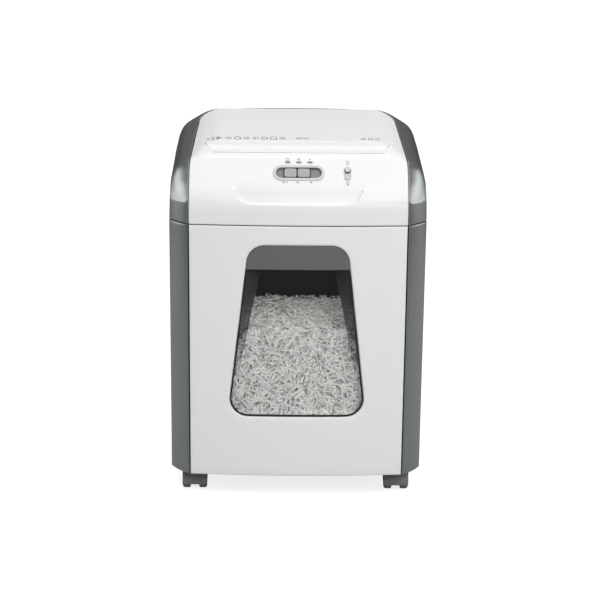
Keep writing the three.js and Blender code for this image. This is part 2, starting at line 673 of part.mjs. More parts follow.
function makeGears() {
  const bore = (centre, radius) => bar("x", radius + FIT, PLATE_X, OUTER_PLATE_X, centre, 12);
  const pairPhase = Math.PI / CUTTER_TEETH;
  const frontGear = gear(CUTTER_TEETH, CUTTER_MODULE, 0, FRONT_SHAFT, ...PAIR_X);
  addPiece("front_cutter_gear", frontGear.subtract(bore(FRONT_SHAFT, JOURNAL_RADIUS)), STEEL);
  const rearGear = gear(CUTTER_TEETH, CUTTER_MODULE, Math.PI + pairPhase, REAR_SHAFT, ...PAIR_X);
  addPiece("rear_cutter_gear", rearGear.subtract(bore(REAR_SHAFT, JOURNAL_RADIUS)), STEEL);
  const finalGear = gear(FINAL_TEETH, FINAL_MODULE, SECOND_ANGLE, REAR_SHAFT, ...FINAL_X);
  addPiece("final_gear", finalGear.subtract(bore(REAR_SHAFT, JOURNAL_RADIUS)), GEAR_NYLON);

  const journal = (centre) =>
    bar("x", PIN_RADIUS, PLATE_X - 1.5, OUTER_PLATE_X + PLATE_THICKNESS + 1.5, centre, 12);
  const secondSmallPhase = SECOND_ANGLE + Math.PI + Math.PI / SECOND_SMALL_TEETH;
  addPiece("second_stage_gear", join([
    gear(SECOND_SMALL_TEETH, FINAL_MODULE, secondSmallPhase, SECOND_STAGE, FINAL_X[0] - 0.5, LARGE_X[0] + 1),
    gear(SECOND_LARGE_TEETH, FINAL_MODULE, FIRST_ANGLE, SECOND_STAGE, ...LARGE_X),
    journal(SECOND_STAGE),
  ]), GEAR_NYLON);
  const firstSmallPhase = FIRST_ANGLE + Math.PI + Math.PI / FIRST_SMALL_TEETH;
  addPiece("first_stage_gear", join([
    gear(FIRST_SMALL_TEETH, FINAL_MODULE, firstSmallPhase, FIRST_STAGE, LARGE_X[0] - 0.5, FAST_X[0] + 1),
    gear(FIRST_LARGE_TEETH, FIRST_MODULE, MOTOR_ANGLE, FIRST_STAGE, ...FAST_X),
    journal(FIRST_STAGE),
  ]), GEAR_NYLON);
}

// ---------------------------------------------------------------- motor

const MOTOR_X = [BLOCK_HALF - 14 - MOTOR_LENGTH, BLOCK_HALF - 14];

function makeMotor() {
  const can = bar("x", MOTOR_RADIUS, MOTOR_X[0], MOTOR_X[1] - 10, MOTOR_AXIS, 20);
  const bell = bar("x", MOTOR_RADIUS - 5, MOTOR_X[1] - 11, MOTOR_X[1], MOTOR_AXIS, 20);
  const bore = bar("x", MOTOR_SHAFT_RADIUS + RUNNING, MOTOR_X[0] - 1, MOTOR_X[1] + 1, MOTOR_AXIS, 12);
  const foot = box(
    MOTOR_X[0] + 12, MOTOR_X[1] - 22, MOTOR_AXIS[0] - 20, MOTOR_AXIS[0] + 20, BLOCK_Z, MOTOR_AXIS[1] - 10,
  );
  addPiece("motor_housing", join([can, bell, foot]).subtract(bore), ZINC);

  const pinionPhase = MOTOR_ANGLE + Math.PI + Math.PI / PINION_TEETH;
  const rotor = [
    bar("x", MOTOR_SHAFT_RADIUS, MOTOR_X[0] - 22, FAST_X[0] + 1, MOTOR_AXIS, 12),
    gear(PINION_TEETH, FIRST_MODULE, pinionPhase, MOTOR_AXIS, FAST_X[0] - 0.5, FAST_X[1] + 0.5),
  ];
  addPiece("motor_shaft", join(rotor), STEEL);

  const hub = bar("x", 8, MOTOR_X[0] - 20, MOTOR_X[0] - 6, MOTOR_AXIS, 12);
  const blades = [hub];
  const bladeCount = 8;
  for (let i = 0; i < bladeCount; i += 1) {
    const blade = new THREE.BoxGeometry(12, 20, 1.6).translate(MOTOR_X[0] - 13, 16, 0);
    blade.rotateX((i / bladeCount) * 2 * Math.PI);
    blades.push(solid(blade.translate(0, ...MOTOR_AXIS)));
  }
  const fanBore = bar("x", MOTOR_SHAFT_RADIUS + FIT, MOTOR_X[0] - 30, MOTOR_X[0], MOTOR_AXIS, 12);
  addPiece("motor_fan", join(blades).subtract(fanBore), BLACK);
}

// ---------------------------------------------------------------- cutting block frame

const ROD_PLACES = [
  ["tie_rod_front", [FRONT_SHAFT[0] - 11, CUTTER_Z - 26.5]],
  ["tie_rod_rear", [REAR_SHAFT[0] + 12, CUTTER_Z - 26.5]],
  ["tie_rod_upper", [REAR_SHAFT[0] + 14, CUTTER_Z + 26]],
];

function makeBlockPlates() {
  const frontY = FRONT_SHAFT[0] - 17;
  const lean = CUTTER_Z + 8;
  const topZ = CUTTER_Z + 32;
  const holeRadius = ROD_RADIUS - 1.2 + FIT;
  const rodHoles = (x0, x1) => ROD_PLACES.map(([, place]) => bar("x", holeRadius, x0, x1, place, 10));
  const shaftHoles = (x0, x1) => [FRONT_SHAFT, REAR_SHAFT].map(
    (centre) => bar("x", JOURNAL_RADIUS + RUNNING, x0, x1, centre, 12),
  );
  const leftX = [-PLATE_X - PLATE_THICKNESS, -PLATE_X];
  const rearLeft = REAR_SHAFT[0] + 24;
  const left = prismX(
    outline([[frontY, BLOCK_Z], [rearLeft, BLOCK_Z], [rearLeft, topZ], [frontY + 19, topZ], [frontY, lean]]),
    ...leftX,
  );
  const leftSpan = [leftX[0] - 1, leftX[1] + 1];
  const leftHoles = join([...rodHoles(...leftSpan), ...shaftHoles(...leftSpan)]);
  addPiece("left_side_plate", left.subtract(leftHoles), STEEL);

  const rightX = [PLATE_X, PLATE_X + PLATE_THICKNESS];
  const rearRight = MOTOR_AXIS[0] + 22;
  const right = prismX(
    outline([[frontY, BLOCK_Z], [rearRight, BLOCK_Z], [rearRight, topZ], [frontY + 19, topZ], [frontY, lean]]),
    ...rightX,
  );
  const pinHole = (centre, x0, x1) => bar("x", PIN_RADIUS + RUNNING, x0, x1, centre, 12);
  const rightSpan = [rightX[0] - 1, rightX[1] + 1];
  addPiece("right_side_plate", right.subtract(join([
    ...rodHoles(...rightSpan),
    ...shaftHoles(...rightSpan),
    pinHole(SECOND_STAGE, ...rightSpan),
    pinHole(FIRST_STAGE, ...rightSpan),
    bar("x", MOTOR_SHAFT_RADIUS + 2, ...rightSpan, MOTOR_AXIS, 12),
  ])), STEEL);

  const outerX = [OUTER_PLATE_X, OUTER_PLATE_X + PLATE_THICKNESS];
  const cheek = prismX(
    outline([
      [SECOND_STAGE[0] - 14, BLOCK_Z], [FIRST_STAGE[0] + 14, BLOCK_Z],
      [FIRST_STAGE[0] + 14, FIRST_STAGE[1] + 14], [SECOND_STAGE[0] - 14, FIRST_STAGE[1] + 18],
    ]),
    ...outerX,
  );
  const cheekSpan = [outerX[0] - 1, outerX[1] + 1];
  const cheekHoles = pinHole(SECOND_STAGE, ...cheekSpan).add(pinHole(FIRST_STAGE, ...cheekSpan));
  addPiece("gearbox_plate", cheek.subtract(cheekHoles), STEEL);
}

// Each rod is shouldered: full size between the plates, a thinner spigot through them.
function makeTieRods() {
  for (const [name, place] of ROD_PLACES) {
    const body = bar("x", ROD_RADIUS, -PLATE_X + FIT, PLATE_X - FIT, place, 10);
    const reach = PLATE_X + PLATE_THICKNESS + 0.8;
    const spigot = bar("x", ROD_RADIUS - 1.2, -reach, reach, place, 10);
    addPiece(name, body.add(spigot), ZINC);
  }
}

// A comb lies along each cutter and its fingers reach between the discs to strip the cut paper.
function makeComb(name, centre, discs, direction) {
  const half = BLOCK_HALF - 1;
  const angle = direction > 0 ? -0.75 : Math.PI + 0.75;
  const spine = along(centre, angle, DISC_RADIUS + 6.5);
  const pieces = [box(-half, half, spine[0] - 2.5, spine[0] + 2.5, spine[1] - 2.5, spine[1] + 2.5)];
  for (let i = 0; i <= discs; i += 1) {
    const x = (i - discs / 2) * DISC_PITCH;
    if (Math.abs(x) + 4 < half) {
      const reach = DISC_RADIUS + 6.5 - HEX_RADIUS - 1.5;
      const finger = new THREE.BoxGeometry(7, reach, 2.4).translate(x, HEX_RADIUS + 1.5 + reach / 2, 0);
      pieces.push(solid(finger.rotateX(angle).translate(0, centre[0], centre[1])));
    }
  }
  addPiece(name, join(pieces), BLACK);
}

function makeCombs() {
  const discs = Math.floor((2 * BLOCK_HALF - 4) / DISC_PITCH);
  makeComb("front_comb", FRONT_SHAFT, discs, -1);
  makeComb("rear_comb", REAR_SHAFT, discs - 1, 1);
}

// ---------------------------------------------------------------- head base and electrics

const CHUTE_HALF = SLOT_LENGTH / 2;
const CHUTE_WALL = 2.5;
const BASE_FRONT_Y = EDGE_Y + FRONT_DEPTH + 1;
const CHUTE_FRONT_Y = BASE_FRONT_Y + CHUTE_WALL;
const CHUTE_REAR_Y = REAR_SHAFT[0] + DISC_RADIUS - 5;
const CHUTE_FOOT_Z = BUCKET_TOP_Z + 6;

function makeHeadBase() {
  const plate = prismZ(bodyOutline(WALL + 1), BASE_PLATE_Z, BASE_PLATE_Z + BASE_PLATE, 4);
  const skirt = box(
    -CHUTE_HALF - CHUTE_WALL, CHUTE_HALF + CHUTE_WALL, CHUTE_FRONT_Y - CHUTE_WALL, CHUTE_REAR_Y + CHUTE_WALL,
    CHUTE_FOOT_Z, BASE_PLATE_Z + 1,
  );
  const chute = box(
    -CHUTE_HALF, CHUTE_HALF, CHUTE_FRONT_Y, CHUTE_REAR_Y, CHUTE_FOOT_Z - 5, BASE_PLATE_Z + BASE_PLATE + 5,
  );
  addPiece("head_base", plate.add(skirt).subtract(chute), BLACK);
}

function makeElectrics() {
  const boardX = [-BLOCK_HALF - 20, -BLOCK_HALF + 75];
  const boardY = [REAR_Y - 95, REAR_Y - 30];
  const board = join([
    box(boardX[0], boardX[1], boardY[0], boardY[1], BLOCK_Z + 6, BLOCK_Z + 7.6),
    box(boardX[0] + 8, boardX[0] + 36, boardY[0] + 8, boardY[0] + 32, BLOCK_Z + 7, BLOCK_Z + 30),
    box(boardX[0] + 50, boardX[0] + 72, boardY[0] + 10, boardY[0] + 26, BLOCK_Z + 7, BLOCK_Z + 22),
    box(boardX[0] + 14, boardX[0] + 60, boardY[1] - 14, boardY[1] - 5, BLOCK_Z + 7, BLOCK_Z + 18),
  ]);
  addPiece("circuit_board", board, BOARD);
  const place = [REAR_SHAFT[0] + 46, BLOCK_Z + 17];
  addPiece("run_capacitor", bar("x", 16, -BLOCK_HALF + 10, -BLOCK_HALF + 68, place, 18), DARK_GREY);
}

const INTERLOCK_Z = BUCKET_TOP_Z - 30;
const INTERLOCK_TRAVEL = 3;
const BUCKET_REAR_Y = REAR_Y - WALL - 12;

function makeInterlock() {
  const tipY = BUCKET_REAR_Y + FIT;
  const caseY = [tipY + INTERLOCK_TRAVEL + 0.6, REAR_Y - WALL - FIT];
  const radius = 2;
  const bore = bar("y", radius + RUNNING, caseY[0] - 1, caseY[1] - 0.8, [0, INTERLOCK_Z], 10);
  const block = box(-14, 14, caseY[0], caseY[1], INTERLOCK_Z - 8, INTERLOCK_Z + 8);
  addPiece("interlock_switch", block.subtract(bore), BLACK);
  const tail = caseY[1] - 0.8 - RUNNING - INTERLOCK_TRAVEL;
  addPiece("interlock_plunger", bar("y", radius, tipY, tail, [0, INTERLOCK_Z], 10), SWITCH_GREY);
}

// ---------------------------------------------------------------- cabinet

function taperCabinet(geometry) {
  return moveVertices(geometry, (p) => {
    p.x *= 1 - (CABINET_TAPER * (SEAM_Z - p.z)) / CABINET_HEIGHT;
  });
}

function taperedPrism(shape, z0, z1, segments) {
  return solid(taperCabinet(extrude(shape, z1 - z0, segments).translate(0, 0, z0)));
}

const cabinetTopZ = SEAM_Z - SEAM_GAP / 2;

function makeCabinet() {
  const span = [CABINET_BASE_Z, cabinetTopZ];
  const outer = taperedPrism(bodyOutline(0), ...span, 5);
  const inner = taperedPrism(bodyOutline(WALL), CABINET_BASE_Z - 1, cabinetTopZ + 1, 5);
  const shell = outer.subtract(inner);
  const frontRegion = (margin) => {
    const half = FRONT_HALF + margin;
    const rearY = EDGE_Y + CORNER_DEPTH;
    return outline([[-half, FRONT_Y - 10], [half, FRONT_Y - 10], [half, rearY], [-half, rearY]]);
  };
  const backRegion = (margin) => {
    const half = BACK_COVER_HALF + margin;
    return outline([[-half, 0], [half, 0], [half, REAR_Y + 10], [-half, REAR_Y + 10]]);
  };
  const tall = [CABINET_BASE_Z - 2, cabinetTopZ + 2];
  const sides = shell
    .subtract(taperedPrism(frontRegion(PANEL_GAP), ...tall))
    .subtract(taperedPrism(backRegion(FIT), ...tall));
  const jambX = FRONT_HALF + PANEL_GAP;
  const jambs = [-1, 1].map((side) => {
    const near = side * jambX;
    const far = side * (jambX + WALL);
    const jamb = outline([
      [Math.min(near, far), EDGE_Y + 1], [Math.max(near, far), EDGE_Y + 1],
      [Math.max(near, far), EDGE_Y + CORNER_DEPTH], [Math.min(near, far), EDGE_Y + CORNER_DEPTH],
    ]);
    const web = outline([
      [side > 0 ? jambX : -HALF_WIDTH + 1, EDGE_Y + CORNER_DEPTH - WALL],
      [side > 0 ? HALF_WIDTH - 1 : -jambX, EDGE_Y + CORNER_DEPTH - WALL],
      [side > 0 ? HALF_WIDTH - 1 : -jambX, EDGE_Y + CORNER_DEPTH],
      [side > 0 ? jambX : -HALF_WIDTH + 1, EDGE_Y + CORNER_DEPTH],
    ]);
    const jambSpan = [CABINET_BASE_Z + STEM_LENGTH + 6, cabinetTopZ];
    return taperedPrism(jamb, ...jambSpan).add(taperedPrism(web, ...jambSpan)).intersect(outer);
  });
  const names = ["cabinet_side_left", "cabinet_side_right"];
  names.forEach((name, i) => {
    const sign = i === 0 ? -1 : 1;
    const half = box(Math.min(0, sign * 400), Math.max(0, sign * 400), -400, 400, 0, 900);
    addPiece(name, sides.intersect(half).add(jambs[i]), SILVER_GREY);
  });
  addPiece("cabinet_back", shell.intersect(taperedPrism(backRegion(0), ...tall)), DARK_GREY);
}

const FLOOR_THICKNESS = 4.5;
const CASTER_Y = [EDGE_Y + CASTER_INSET_Y, REAR_Y - CASTER_INSET_Y];

function makeFloor() {
  const low = CABINET_BASE_Z + 0.3;
  const high = low + FLOOR_THICKNESS;
  const neck = FRONT_HALF + PANEL_GAP - FIT;
  const stepY = EDGE_Y + CORNER_DEPTH + FIT;
  const right = [[neck, BASE_FRONT_Y], [neck, stepY], [HALF_WIDTH, stepY], [HALF_WIDTH, REAR_Y]];
  const left = right.map(([x, y]) => [-x, y]).reverse();
  const plate = taperedPrism(bodyOutline(WALL + FIT), low, high, 5).intersect(
    taperedPrism(outline([...right, ...left]), low - 1, high + 1),
  );
  const guideX = BUCKET_WIDTH / 2 + RUNNING;
  const guides = [-1, 1].map((side) => {
    const near = side * guideX;
    const far = side * (guideX + 2.5);
    const x = [Math.min(near, far), Math.max(near, far)];
    return box(...x, BASE_FRONT_Y + 2, BUCKET_REAR_Y, low + 1, BUCKET_FLOOR_Z + 12);
  });
  const bosses = [];
  const holes = [];
  for (const side of [-1, 1]) {
    for (const y of CASTER_Y) {
      bosses.push(bar("z", STEM_RADIUS + 2.2, low + 1, low + STEM_LENGTH + 3, [side * CASTER_X, y]));
      holes.push(bar("z", STEM_RADIUS + RUNNING, low - 1, low + STEM_LENGTH, [side * CASTER_X, y]));
    }
  }
  const clear = box(
    -BUCKET_WIDTH / 2 - RUNNING, BUCKET_WIDTH / 2 + RUNNING, FRONT_Y, BUCKET_REAR_Y + RUNNING, high, SEAM_Z,
  );
  const floor = join([plate, ...guides, ...bosses]).subtract(clear).subtract(join(holes));
  addPiece("cabinet_floor", floor, DARK_GREY);
}

// ---------------------------------------------------------------- bin

// Window outline: a trapezoid, wider at the foot, with round corners; grown outwards by a margin.
function windowOutline(margin) {
  const slope = (WINDOW_BASE_HALF - WINDOW_TOP_HALF) / (WINDOW_TOP_Z - WINDOW_BASE_Z);
  const halfAt = (z) => WINDOW_BASE_HALF - slope * (z - WINDOW_BASE_Z) + margin;
  const top = WINDOW_TOP_Z + margin;
  const base = WINDOW_BASE_Z - margin;
  const corners = [[-halfAt(base), base], [halfAt(base), base], [halfAt(top), top], [-halfAt(top), top]];
  return roundedPolygon(corners, WINDOW_RADIUS + margin);
}

// Points round a polygon whose corners are replaced by curves of a radius.
function roundedPolygon(corners, radius, steps = 4) {
  const points = [];
  corners.forEach((corner, i) => {
    const here = new THREE.Vector2(...corner);
    const before = new THREE.Vector2(...corners.at(i - 1)).sub(here).normalize();
    const after = new THREE.Vector2(...corners[(i + 1) % corners.length]).sub(here).normalize();
    const halfAngle = Math.acos(before.dot(after)) / 2;
    const reach = radius / Math.tan(halfAngle);
    const start = here.clone().addScaledVector(before, reach);
    const end = here.clone().addScaledVector(after, reach);
    const inwards = before.clone().add(after).normalize();
    const middle = inwards.multiplyScalar(radius / Math.sin(halfAngle)).add(here);
    const from = start.clone().sub(middle).angle();
    let sweep = end.clone().sub(middle).angle() - from;
    if (sweep < 0) sweep += 2 * Math.PI;
    for (let k = 0; k <= steps; k += 1) {
      const angle = from + (sweep * k) / steps;
      points.push([middle.x + radius * Math.cos(angle), middle.y + radius * Math.sin(angle)]);
    }
  });
  return points;
}

// Front face of the bowed panel at a distance from its middle.
function bowY(x) {
  return FRONT_Y + FRONT_BOW * (x / FRONT_HALF) ** 2;
}

const binFrontZ = [CABINET_BASE_Z + 1, cabinetTopZ - 0.6];

// A slab that follows the bowed front between two depths, over a width.
function bowedSlab(half, near, far, z0, z1) {
  const steps = 8;
  const front = [];
  const back = [];
  for (let i = 0; i <= steps; i += 1) {
    const x = half * ((2 * i) / steps - 1);
    front.push([x, bowY(x) + near]);
    back.push([x, bowY(x) + far]);
  }
  return taperedPrism(outline([...front, ...back.reverse()]), z0, z1);
}

function makeBinFront() {
  const half = FRONT_HALF - 0.4;
  const backY = EDGE_Y + FRONT_DEPTH;
  const steps = 8;
  const trayOutline = (inset) => {
    const width = half - inset;
    const points = [[width, backY + (inset ? 1 : 0)], [-width, backY + (inset ? 1 : 0)]];
    for (let i = 0; i <= steps; i += 1) {
      const x = width * ((2 * i) / steps - 1);
      points.push([x, bowY(x) + inset]);
    }
    return outline(points);
  };
  const tray = taperedPrism(trayOutline(0), ...binFrontZ).subtract(
    taperedPrism(trayOutline(WALL), binFrontZ[0] + WALL, binFrontZ[1] - WALL),
  );
  const opening = prismY(outline(windowOutline(0)), FRONT_Y - 10, EDGE_Y + 6);
  addPiece("bin_front", tray.subtract(opening), WHITE_ABS);
}

// Strips set in the window opening: the grey grip across the top and the black seal round the rest.
function makeWindowTrim() {
  const gripZ = WINDOW_TOP_Z - GRIP_HEIGHT;
  const slab = bowedSlab(WINDOW_BASE_HALF + 10, 1, 3.2, 0, SEAM_Z);
  const inside = prismY(outline(windowOutline(-FIT)), FRONT_Y - 10, EDGE_Y + 10);
  const grip = slab.intersect(inside).intersect(box(-200, 200, -400, 400, gripZ, SEAM_Z));
  addPiece("window_grip", grip, SILVER_GREY);
  const hole = prismY(outline(windowOutline(-FIT - 2.2)), FRONT_Y - 10, EDGE_Y + 10);
  const seal = slab.intersect(inside).subtract(hole).intersect(box(-200, 200, -400, 400, 0, gripZ - FIT));
  addPiece("window_seal", seal, BLACK);
}

// Hull between the window opening and the leaning pane behind it, grown by a margin.
function windowTub(margin, start) {
  const points = [];
  for (const [x, z] of windowOutline(-FIT - 1 + margin)) {
    points.push(new THREE.Vector3(x, bowY(x) + start, z));
  }
  const top = WINDOW_TOP_Z - 8 + margin;
  const base = WINDOW_BASE_Z + 6 - margin;
  const pane = roundedPolygon([
    [-PANE_BASE_HALF - margin, base], [PANE_BASE_HALF + margin, base],
    [PANE_TOP_HALF + margin, top], [-PANE_TOP_HALF - margin, top],
  ], 14 + margin, 3);
  for (const [x, z] of pane) {
    const share = (z - base) / (top - base);
    const depth = PANE_BASE_DEPTH + (PANE_TOP_DEPTH - PANE_BASE_DEPTH) * share + margin;
    points.push(new THREE.Vector3(x, bowY(x) * (1 - share) + FRONT_Y * share + depth + WALL + 0.4, z));
  }
  return solid(new ConvexGeometry(points));
}

function makeWindowPane() {
  const start = WALL + 0.6;
  const tub = windowTub(PANE_THICKNESS, start).subtract(windowTub(0, start - 1.2));
  const flange = bowedSlab(WINDOW_BASE_HALF + 10, start, start + 1.6, 0, SEAM_Z)
    .intersect(prismY(outline(windowOutline(6)), FRONT_Y - 10, EDGE_Y + 20))
    .subtract(prismY(outline(windowOutline(-FIT - 0.8)), FRONT_Y - 10, EDGE_Y + 20));
  addPiece("window_pane", tub.add(flange), CLEAR);
}

function makeBucket() {
  const half = BUCKET_WIDTH / 2;
  const frontY = EDGE_Y + FRONT_DEPTH + FIT;
  const outer = box(-half, half, frontY, BUCKET_REAR_Y, BUCKET_FLOOR_Z, BUCKET_TOP_Z);
  const hollow = box(
    -half + BUCKET_WALL, half - BUCKET_WALL, frontY - 5, BUCKET_REAR_Y - BUCKET_WALL,
    BUCKET_FLOOR_Z + BUCKET_WALL, BUCKET_TOP_Z + 10,
  );
  addPiece("bin_bucket", outer.subtract(hollow), DARK_GREY);
}

function makeShreds() {
  const half = BUCKET_WIDTH / 2 - BUCKET_WALL - 0.5;
  const heap = box(
    -half, half, EDGE_Y + WALL + 0.5, BUCKET_REAR_Y - BUCKET_WALL - 0.5,
    BUCKET_FLOOR_Z + BUCKET_WALL + 0.5, HEAP_TOP_Z,
  );
  addPiece("paper_shreds", heap.subtract(windowTub(PANE_THICKNESS + 0.8, 3.6)), PAPER);
}

// ---------------------------------------------------------------- casters

function makeCaster(suffix, x, y) {
  const caster = new THREE.Group();
  caster.position.set(x, y, 0);
  group.add(caster);
  const axle = [CASTER_TRAIL, WHEEL_RADIUS];
  const half = CASTER_WIDTH / 2;
  const web = half - WHEEL_WIDTH - 1;
  const fenderRadius = WHEEL_RADIUS + 1 + FENDER_THICKNESS;
  const topZ = CABINET_BASE_Z - 0.9;
  const fender = join([
    bar("x", fenderRadius, -half, half, axle, 14),
    box(-half, half, axle[0] - fenderRadius * 0.8, axle[0] + 4, axle[1] + 6, topZ - 1),
    bar("z", 9, axle[1] + 8, topZ, [0, 0], 12),
  ]).intersect(box(-half, half, -40, 40, WHEEL_RADIUS * 0.62, topZ));
  const pockets = [-1, 1].map((side) => {
    const near = side * web;
    const far = side * (half + 1);
    return bar("x", WHEEL_RADIUS + 1, Math.min(near, far), Math.max(near, far), axle, 14);
  });
  const stem = bar("z", STEM_RADIUS, topZ - 2, CABINET_BASE_Z + 0.3 + STEM_LENGTH - 1.5, [0, 0], 10);
  const bore = bar("x", AXLE_RADIUS + RUNNING, -half - 1, half + 1, axle, 10);
  addPiece("caster_fork_" + suffix, fender.subtract(join([...pockets, bore])).add(stem), RUBBER, caster);

  const inner = web + 0.5;
  const shoulder = 1.8;
  // Wide enough over the corners for a flat of the tread to lie on the floor
  const tread = WHEEL_RADIUS / Math.cos(Math.PI / WHEEL_SIDES);
  const side = [
    [0, -half], [tread - shoulder, -half], [tread, -half + shoulder],
    [tread, -inner - shoulder / 2], [tread - shoulder / 2, -inner], [AXLE_RADIUS, -inner],
  ];
  const profile = [...side, ...side.map(([r, h]) => [r, -h]).reverse()];
  const pair = new THREE.LatheGeometry(profile.map(([r, h]) => new THREE.Vector2(r, h)), WHEEL_SIDES);
  pair.rotateY(Math.PI / WHEEL_SIDES);
  pair.rotateZ(Math.PI / 2);
  const wheels = addPiece("caster_wheels_" + suffix, solid(pair), RUBBER, caster);
  wheels.position.set(0, ...axle);
}

function makeCasters() {
  const [frontY, rearY] = CASTER_Y;
  makeCaster("front_left", -CASTER_X, frontY);
  makeCaster("front_right", CASTER_X, frontY);
  makeCaster("rear_left", -CASTER_X, rearY);
  makeCaster("rear_right", CASTER_X, rearY);
}

// ---------------------------------------------------------------- assembly

makeHeadShells();
makeCordGland();
makeModeSwitch();
makeLockSwitch();
makeLamps();
makePaperGuides();
makeSensorLever();
makeCutters();
makeGears();
makeMotor();
makeBlockPlates();
makeTieRods();
makeCombs();
makeHeadBase();
makeElectrics();
makeInterlock();
makeCabinet();
makeFloor();
makeBinFront();
makeWindowTrim();
makeWindowPane();
makeBucket();
makeShreds();
makeCasters();

export default group;
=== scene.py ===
import json
import math
import random

import bmesh
import bpy
from mathutils import Matrix, Vector, noise


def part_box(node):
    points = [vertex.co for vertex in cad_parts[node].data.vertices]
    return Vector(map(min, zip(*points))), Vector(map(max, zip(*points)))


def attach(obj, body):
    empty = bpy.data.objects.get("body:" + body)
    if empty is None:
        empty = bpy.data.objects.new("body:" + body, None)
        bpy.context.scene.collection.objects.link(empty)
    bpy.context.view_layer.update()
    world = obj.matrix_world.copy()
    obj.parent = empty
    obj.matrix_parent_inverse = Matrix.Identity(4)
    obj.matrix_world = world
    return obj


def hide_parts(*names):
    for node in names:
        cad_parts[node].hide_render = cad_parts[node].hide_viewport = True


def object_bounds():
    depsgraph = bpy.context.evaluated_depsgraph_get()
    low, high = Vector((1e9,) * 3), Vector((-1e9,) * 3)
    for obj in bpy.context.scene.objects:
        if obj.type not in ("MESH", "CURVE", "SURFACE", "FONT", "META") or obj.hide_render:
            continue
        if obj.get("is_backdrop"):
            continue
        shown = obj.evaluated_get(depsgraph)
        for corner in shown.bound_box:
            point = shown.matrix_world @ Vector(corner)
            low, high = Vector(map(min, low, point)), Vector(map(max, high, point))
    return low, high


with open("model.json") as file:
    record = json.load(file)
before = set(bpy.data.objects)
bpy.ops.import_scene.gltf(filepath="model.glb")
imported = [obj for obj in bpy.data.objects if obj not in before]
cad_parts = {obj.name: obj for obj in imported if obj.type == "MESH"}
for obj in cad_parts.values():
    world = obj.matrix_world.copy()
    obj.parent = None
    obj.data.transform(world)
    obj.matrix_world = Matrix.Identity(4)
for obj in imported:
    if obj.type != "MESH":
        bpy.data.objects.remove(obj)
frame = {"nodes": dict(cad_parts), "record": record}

bl_info = {
    "name": "Paper Shredder",
    "version": (1, 0, 0),
    "blender": (4, 5, 0),
    "location": "3D View > Sidebar > Shredder",
    "description": "Fine surfaces, materials and studio stage for a paper shredder with a windowed bin",
    "category": "Object",
}

# Shapes are worked out in millimetres, and turned into metres where a mesh is made.
MM = 0.001


def corners(node):
    """Lowest and highest corner of a CAD node, in millimetres."""
    low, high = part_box(node)
    return Vector(low) / MM, Vector(high) / MM


# ---------------------------------------------------------------- main places, from the CAD nodes

COVER_LOW, COVER_HIGH = corners("head_cover")
SIDE_LOW, SIDE_HIGH = corners("cabinet_side_right")
BIN_LOW, BIN_HIGH = corners("bin_front")
BACK_LOW, BACK_HIGH = corners("head_back_cover")
GRIP_LOW, GRIP_HIGH = corners("window_grip")
SHREDS_LOW, SHREDS_HIGH = corners("paper_shreds")
LOCK_LOW, LOCK_HIGH = corners("lock_bezel")

HALF_WIDTH = SIDE_HIGH.x
FRONT_Y = COVER_LOW.y
REAR_Y = corners("head_side_right")[1].y
SEAM_Z = (COVER_LOW.z + SIDE_HIGH.z) / 2
BASE_Z = SIDE_LOW.z
TOP_Z = COVER_HIGH.z
COVER_REAR_Y = COVER_HIGH.y
LOCK_X = (LOCK_LOW.x + LOCK_HIGH.x) / 2

# Proportions of the body, all in millimetres
FRONT_BOW = 8.4
CORNER_WIDTH = 28.0
CORNER_DEPTH = 40.5
CORNER_CROWN = 4.0
REAR_RADIUS = 25.0
FRONT_HALF = HALF_WIDTH - CORNER_WIDTH
EDGE_Y = FRONT_Y + FRONT_BOW
CREASE_Z = SEAM_Z + 29.0
TAPER = 0.013 / (SEAM_Z - BASE_Z)
TOP_SLOPE = 0.1274
# The front above its crease: distance back, rise, share of the bow that has gone
FRONT_PROFILE = [(0, 0, 0), (8.4, 17.5, 0.28), (36.4, 56, 0.88), (42.4, 60.2, 0.96), (46.4, 62.5, 1)]
THROAT_REAR = (78.4, 74)
LIP_Y = FRONT_Y + FRONT_PROFILE[-1][0]
LIP_Z = CREASE_Z + FRONT_PROFILE[-1][1]
THROAT_REAR_Y = FRONT_Y + THROAT_REAR[0]
SIDE_DRAW = [(0, 0), (29, 0.8), (46.5, 1.6), (85, 3), (91.5, 4), (103, 5), (145, 6)]
SHOULDER = [
    (0, 2), (105, 2), (118, -1.5), (133, -7.2), (142.5, -12.8), (152, -18), (158, -21), (163.5, -25),
    (167, -30), (170.3, -37), (172.5, -43), (174, -52), (175, -62), (176, -76),
]
COVER_NARROWING = 6.5
COVER_REAR_RADIUS = 26.0
COVER_ARC_Y = COVER_REAR_Y - COVER_REAR_RADIUS
SLOT_HALF = 115.0
SLOT_WIDTH = 6.0
THROAT_HALF = 127.0
# The control panel is the leaning stretch of that profile, with its origin a little above the middle
PANEL_DEPTH = 28.0
PANEL_RISE = 38.5
PANEL_SHARE = 0.56
PANEL_TILT = math.atan2(PANEL_RISE, PANEL_DEPTH)
PANEL_ORIGIN = Vector((
    0, FRONT_Y + 8.4 + PANEL_DEPTH * PANEL_SHARE, CREASE_Z + 17.5 + PANEL_RISE * PANEL_SHARE,
))
PANEL = Matrix.Translation(PANEL_ORIGIN) @ Matrix.Rotation(PANEL_TILT, 4, "X")
WINDOW_TOP = 354.5
WINDOW_BASE = 116.7
WINDOW_TOP_HALF = 66.8
WINDOW_BASE_HALF = 94.4
WINDOW_RADIUS = 25.0
PANE_TOP = WINDOW_TOP - 8
PANE_BASE = WINDOW_BASE + 6
PANE_TOP_HALF = 44.0
PANE_BASE_HALF = 89.0
# The clear part's rim lies this far inside the opening, and this far behind the bin's face
RIM_INSET = 1.4
RIM_DEPTH = 3.7
LAMP_SPACING = 14.9
LAMP_RISE = 16
VENT_PITCH = 9
WHEEL_RADIUS = 13.5
WHEEL_WIDTH = 11.4


# ---------------------------------------------------------------- settings


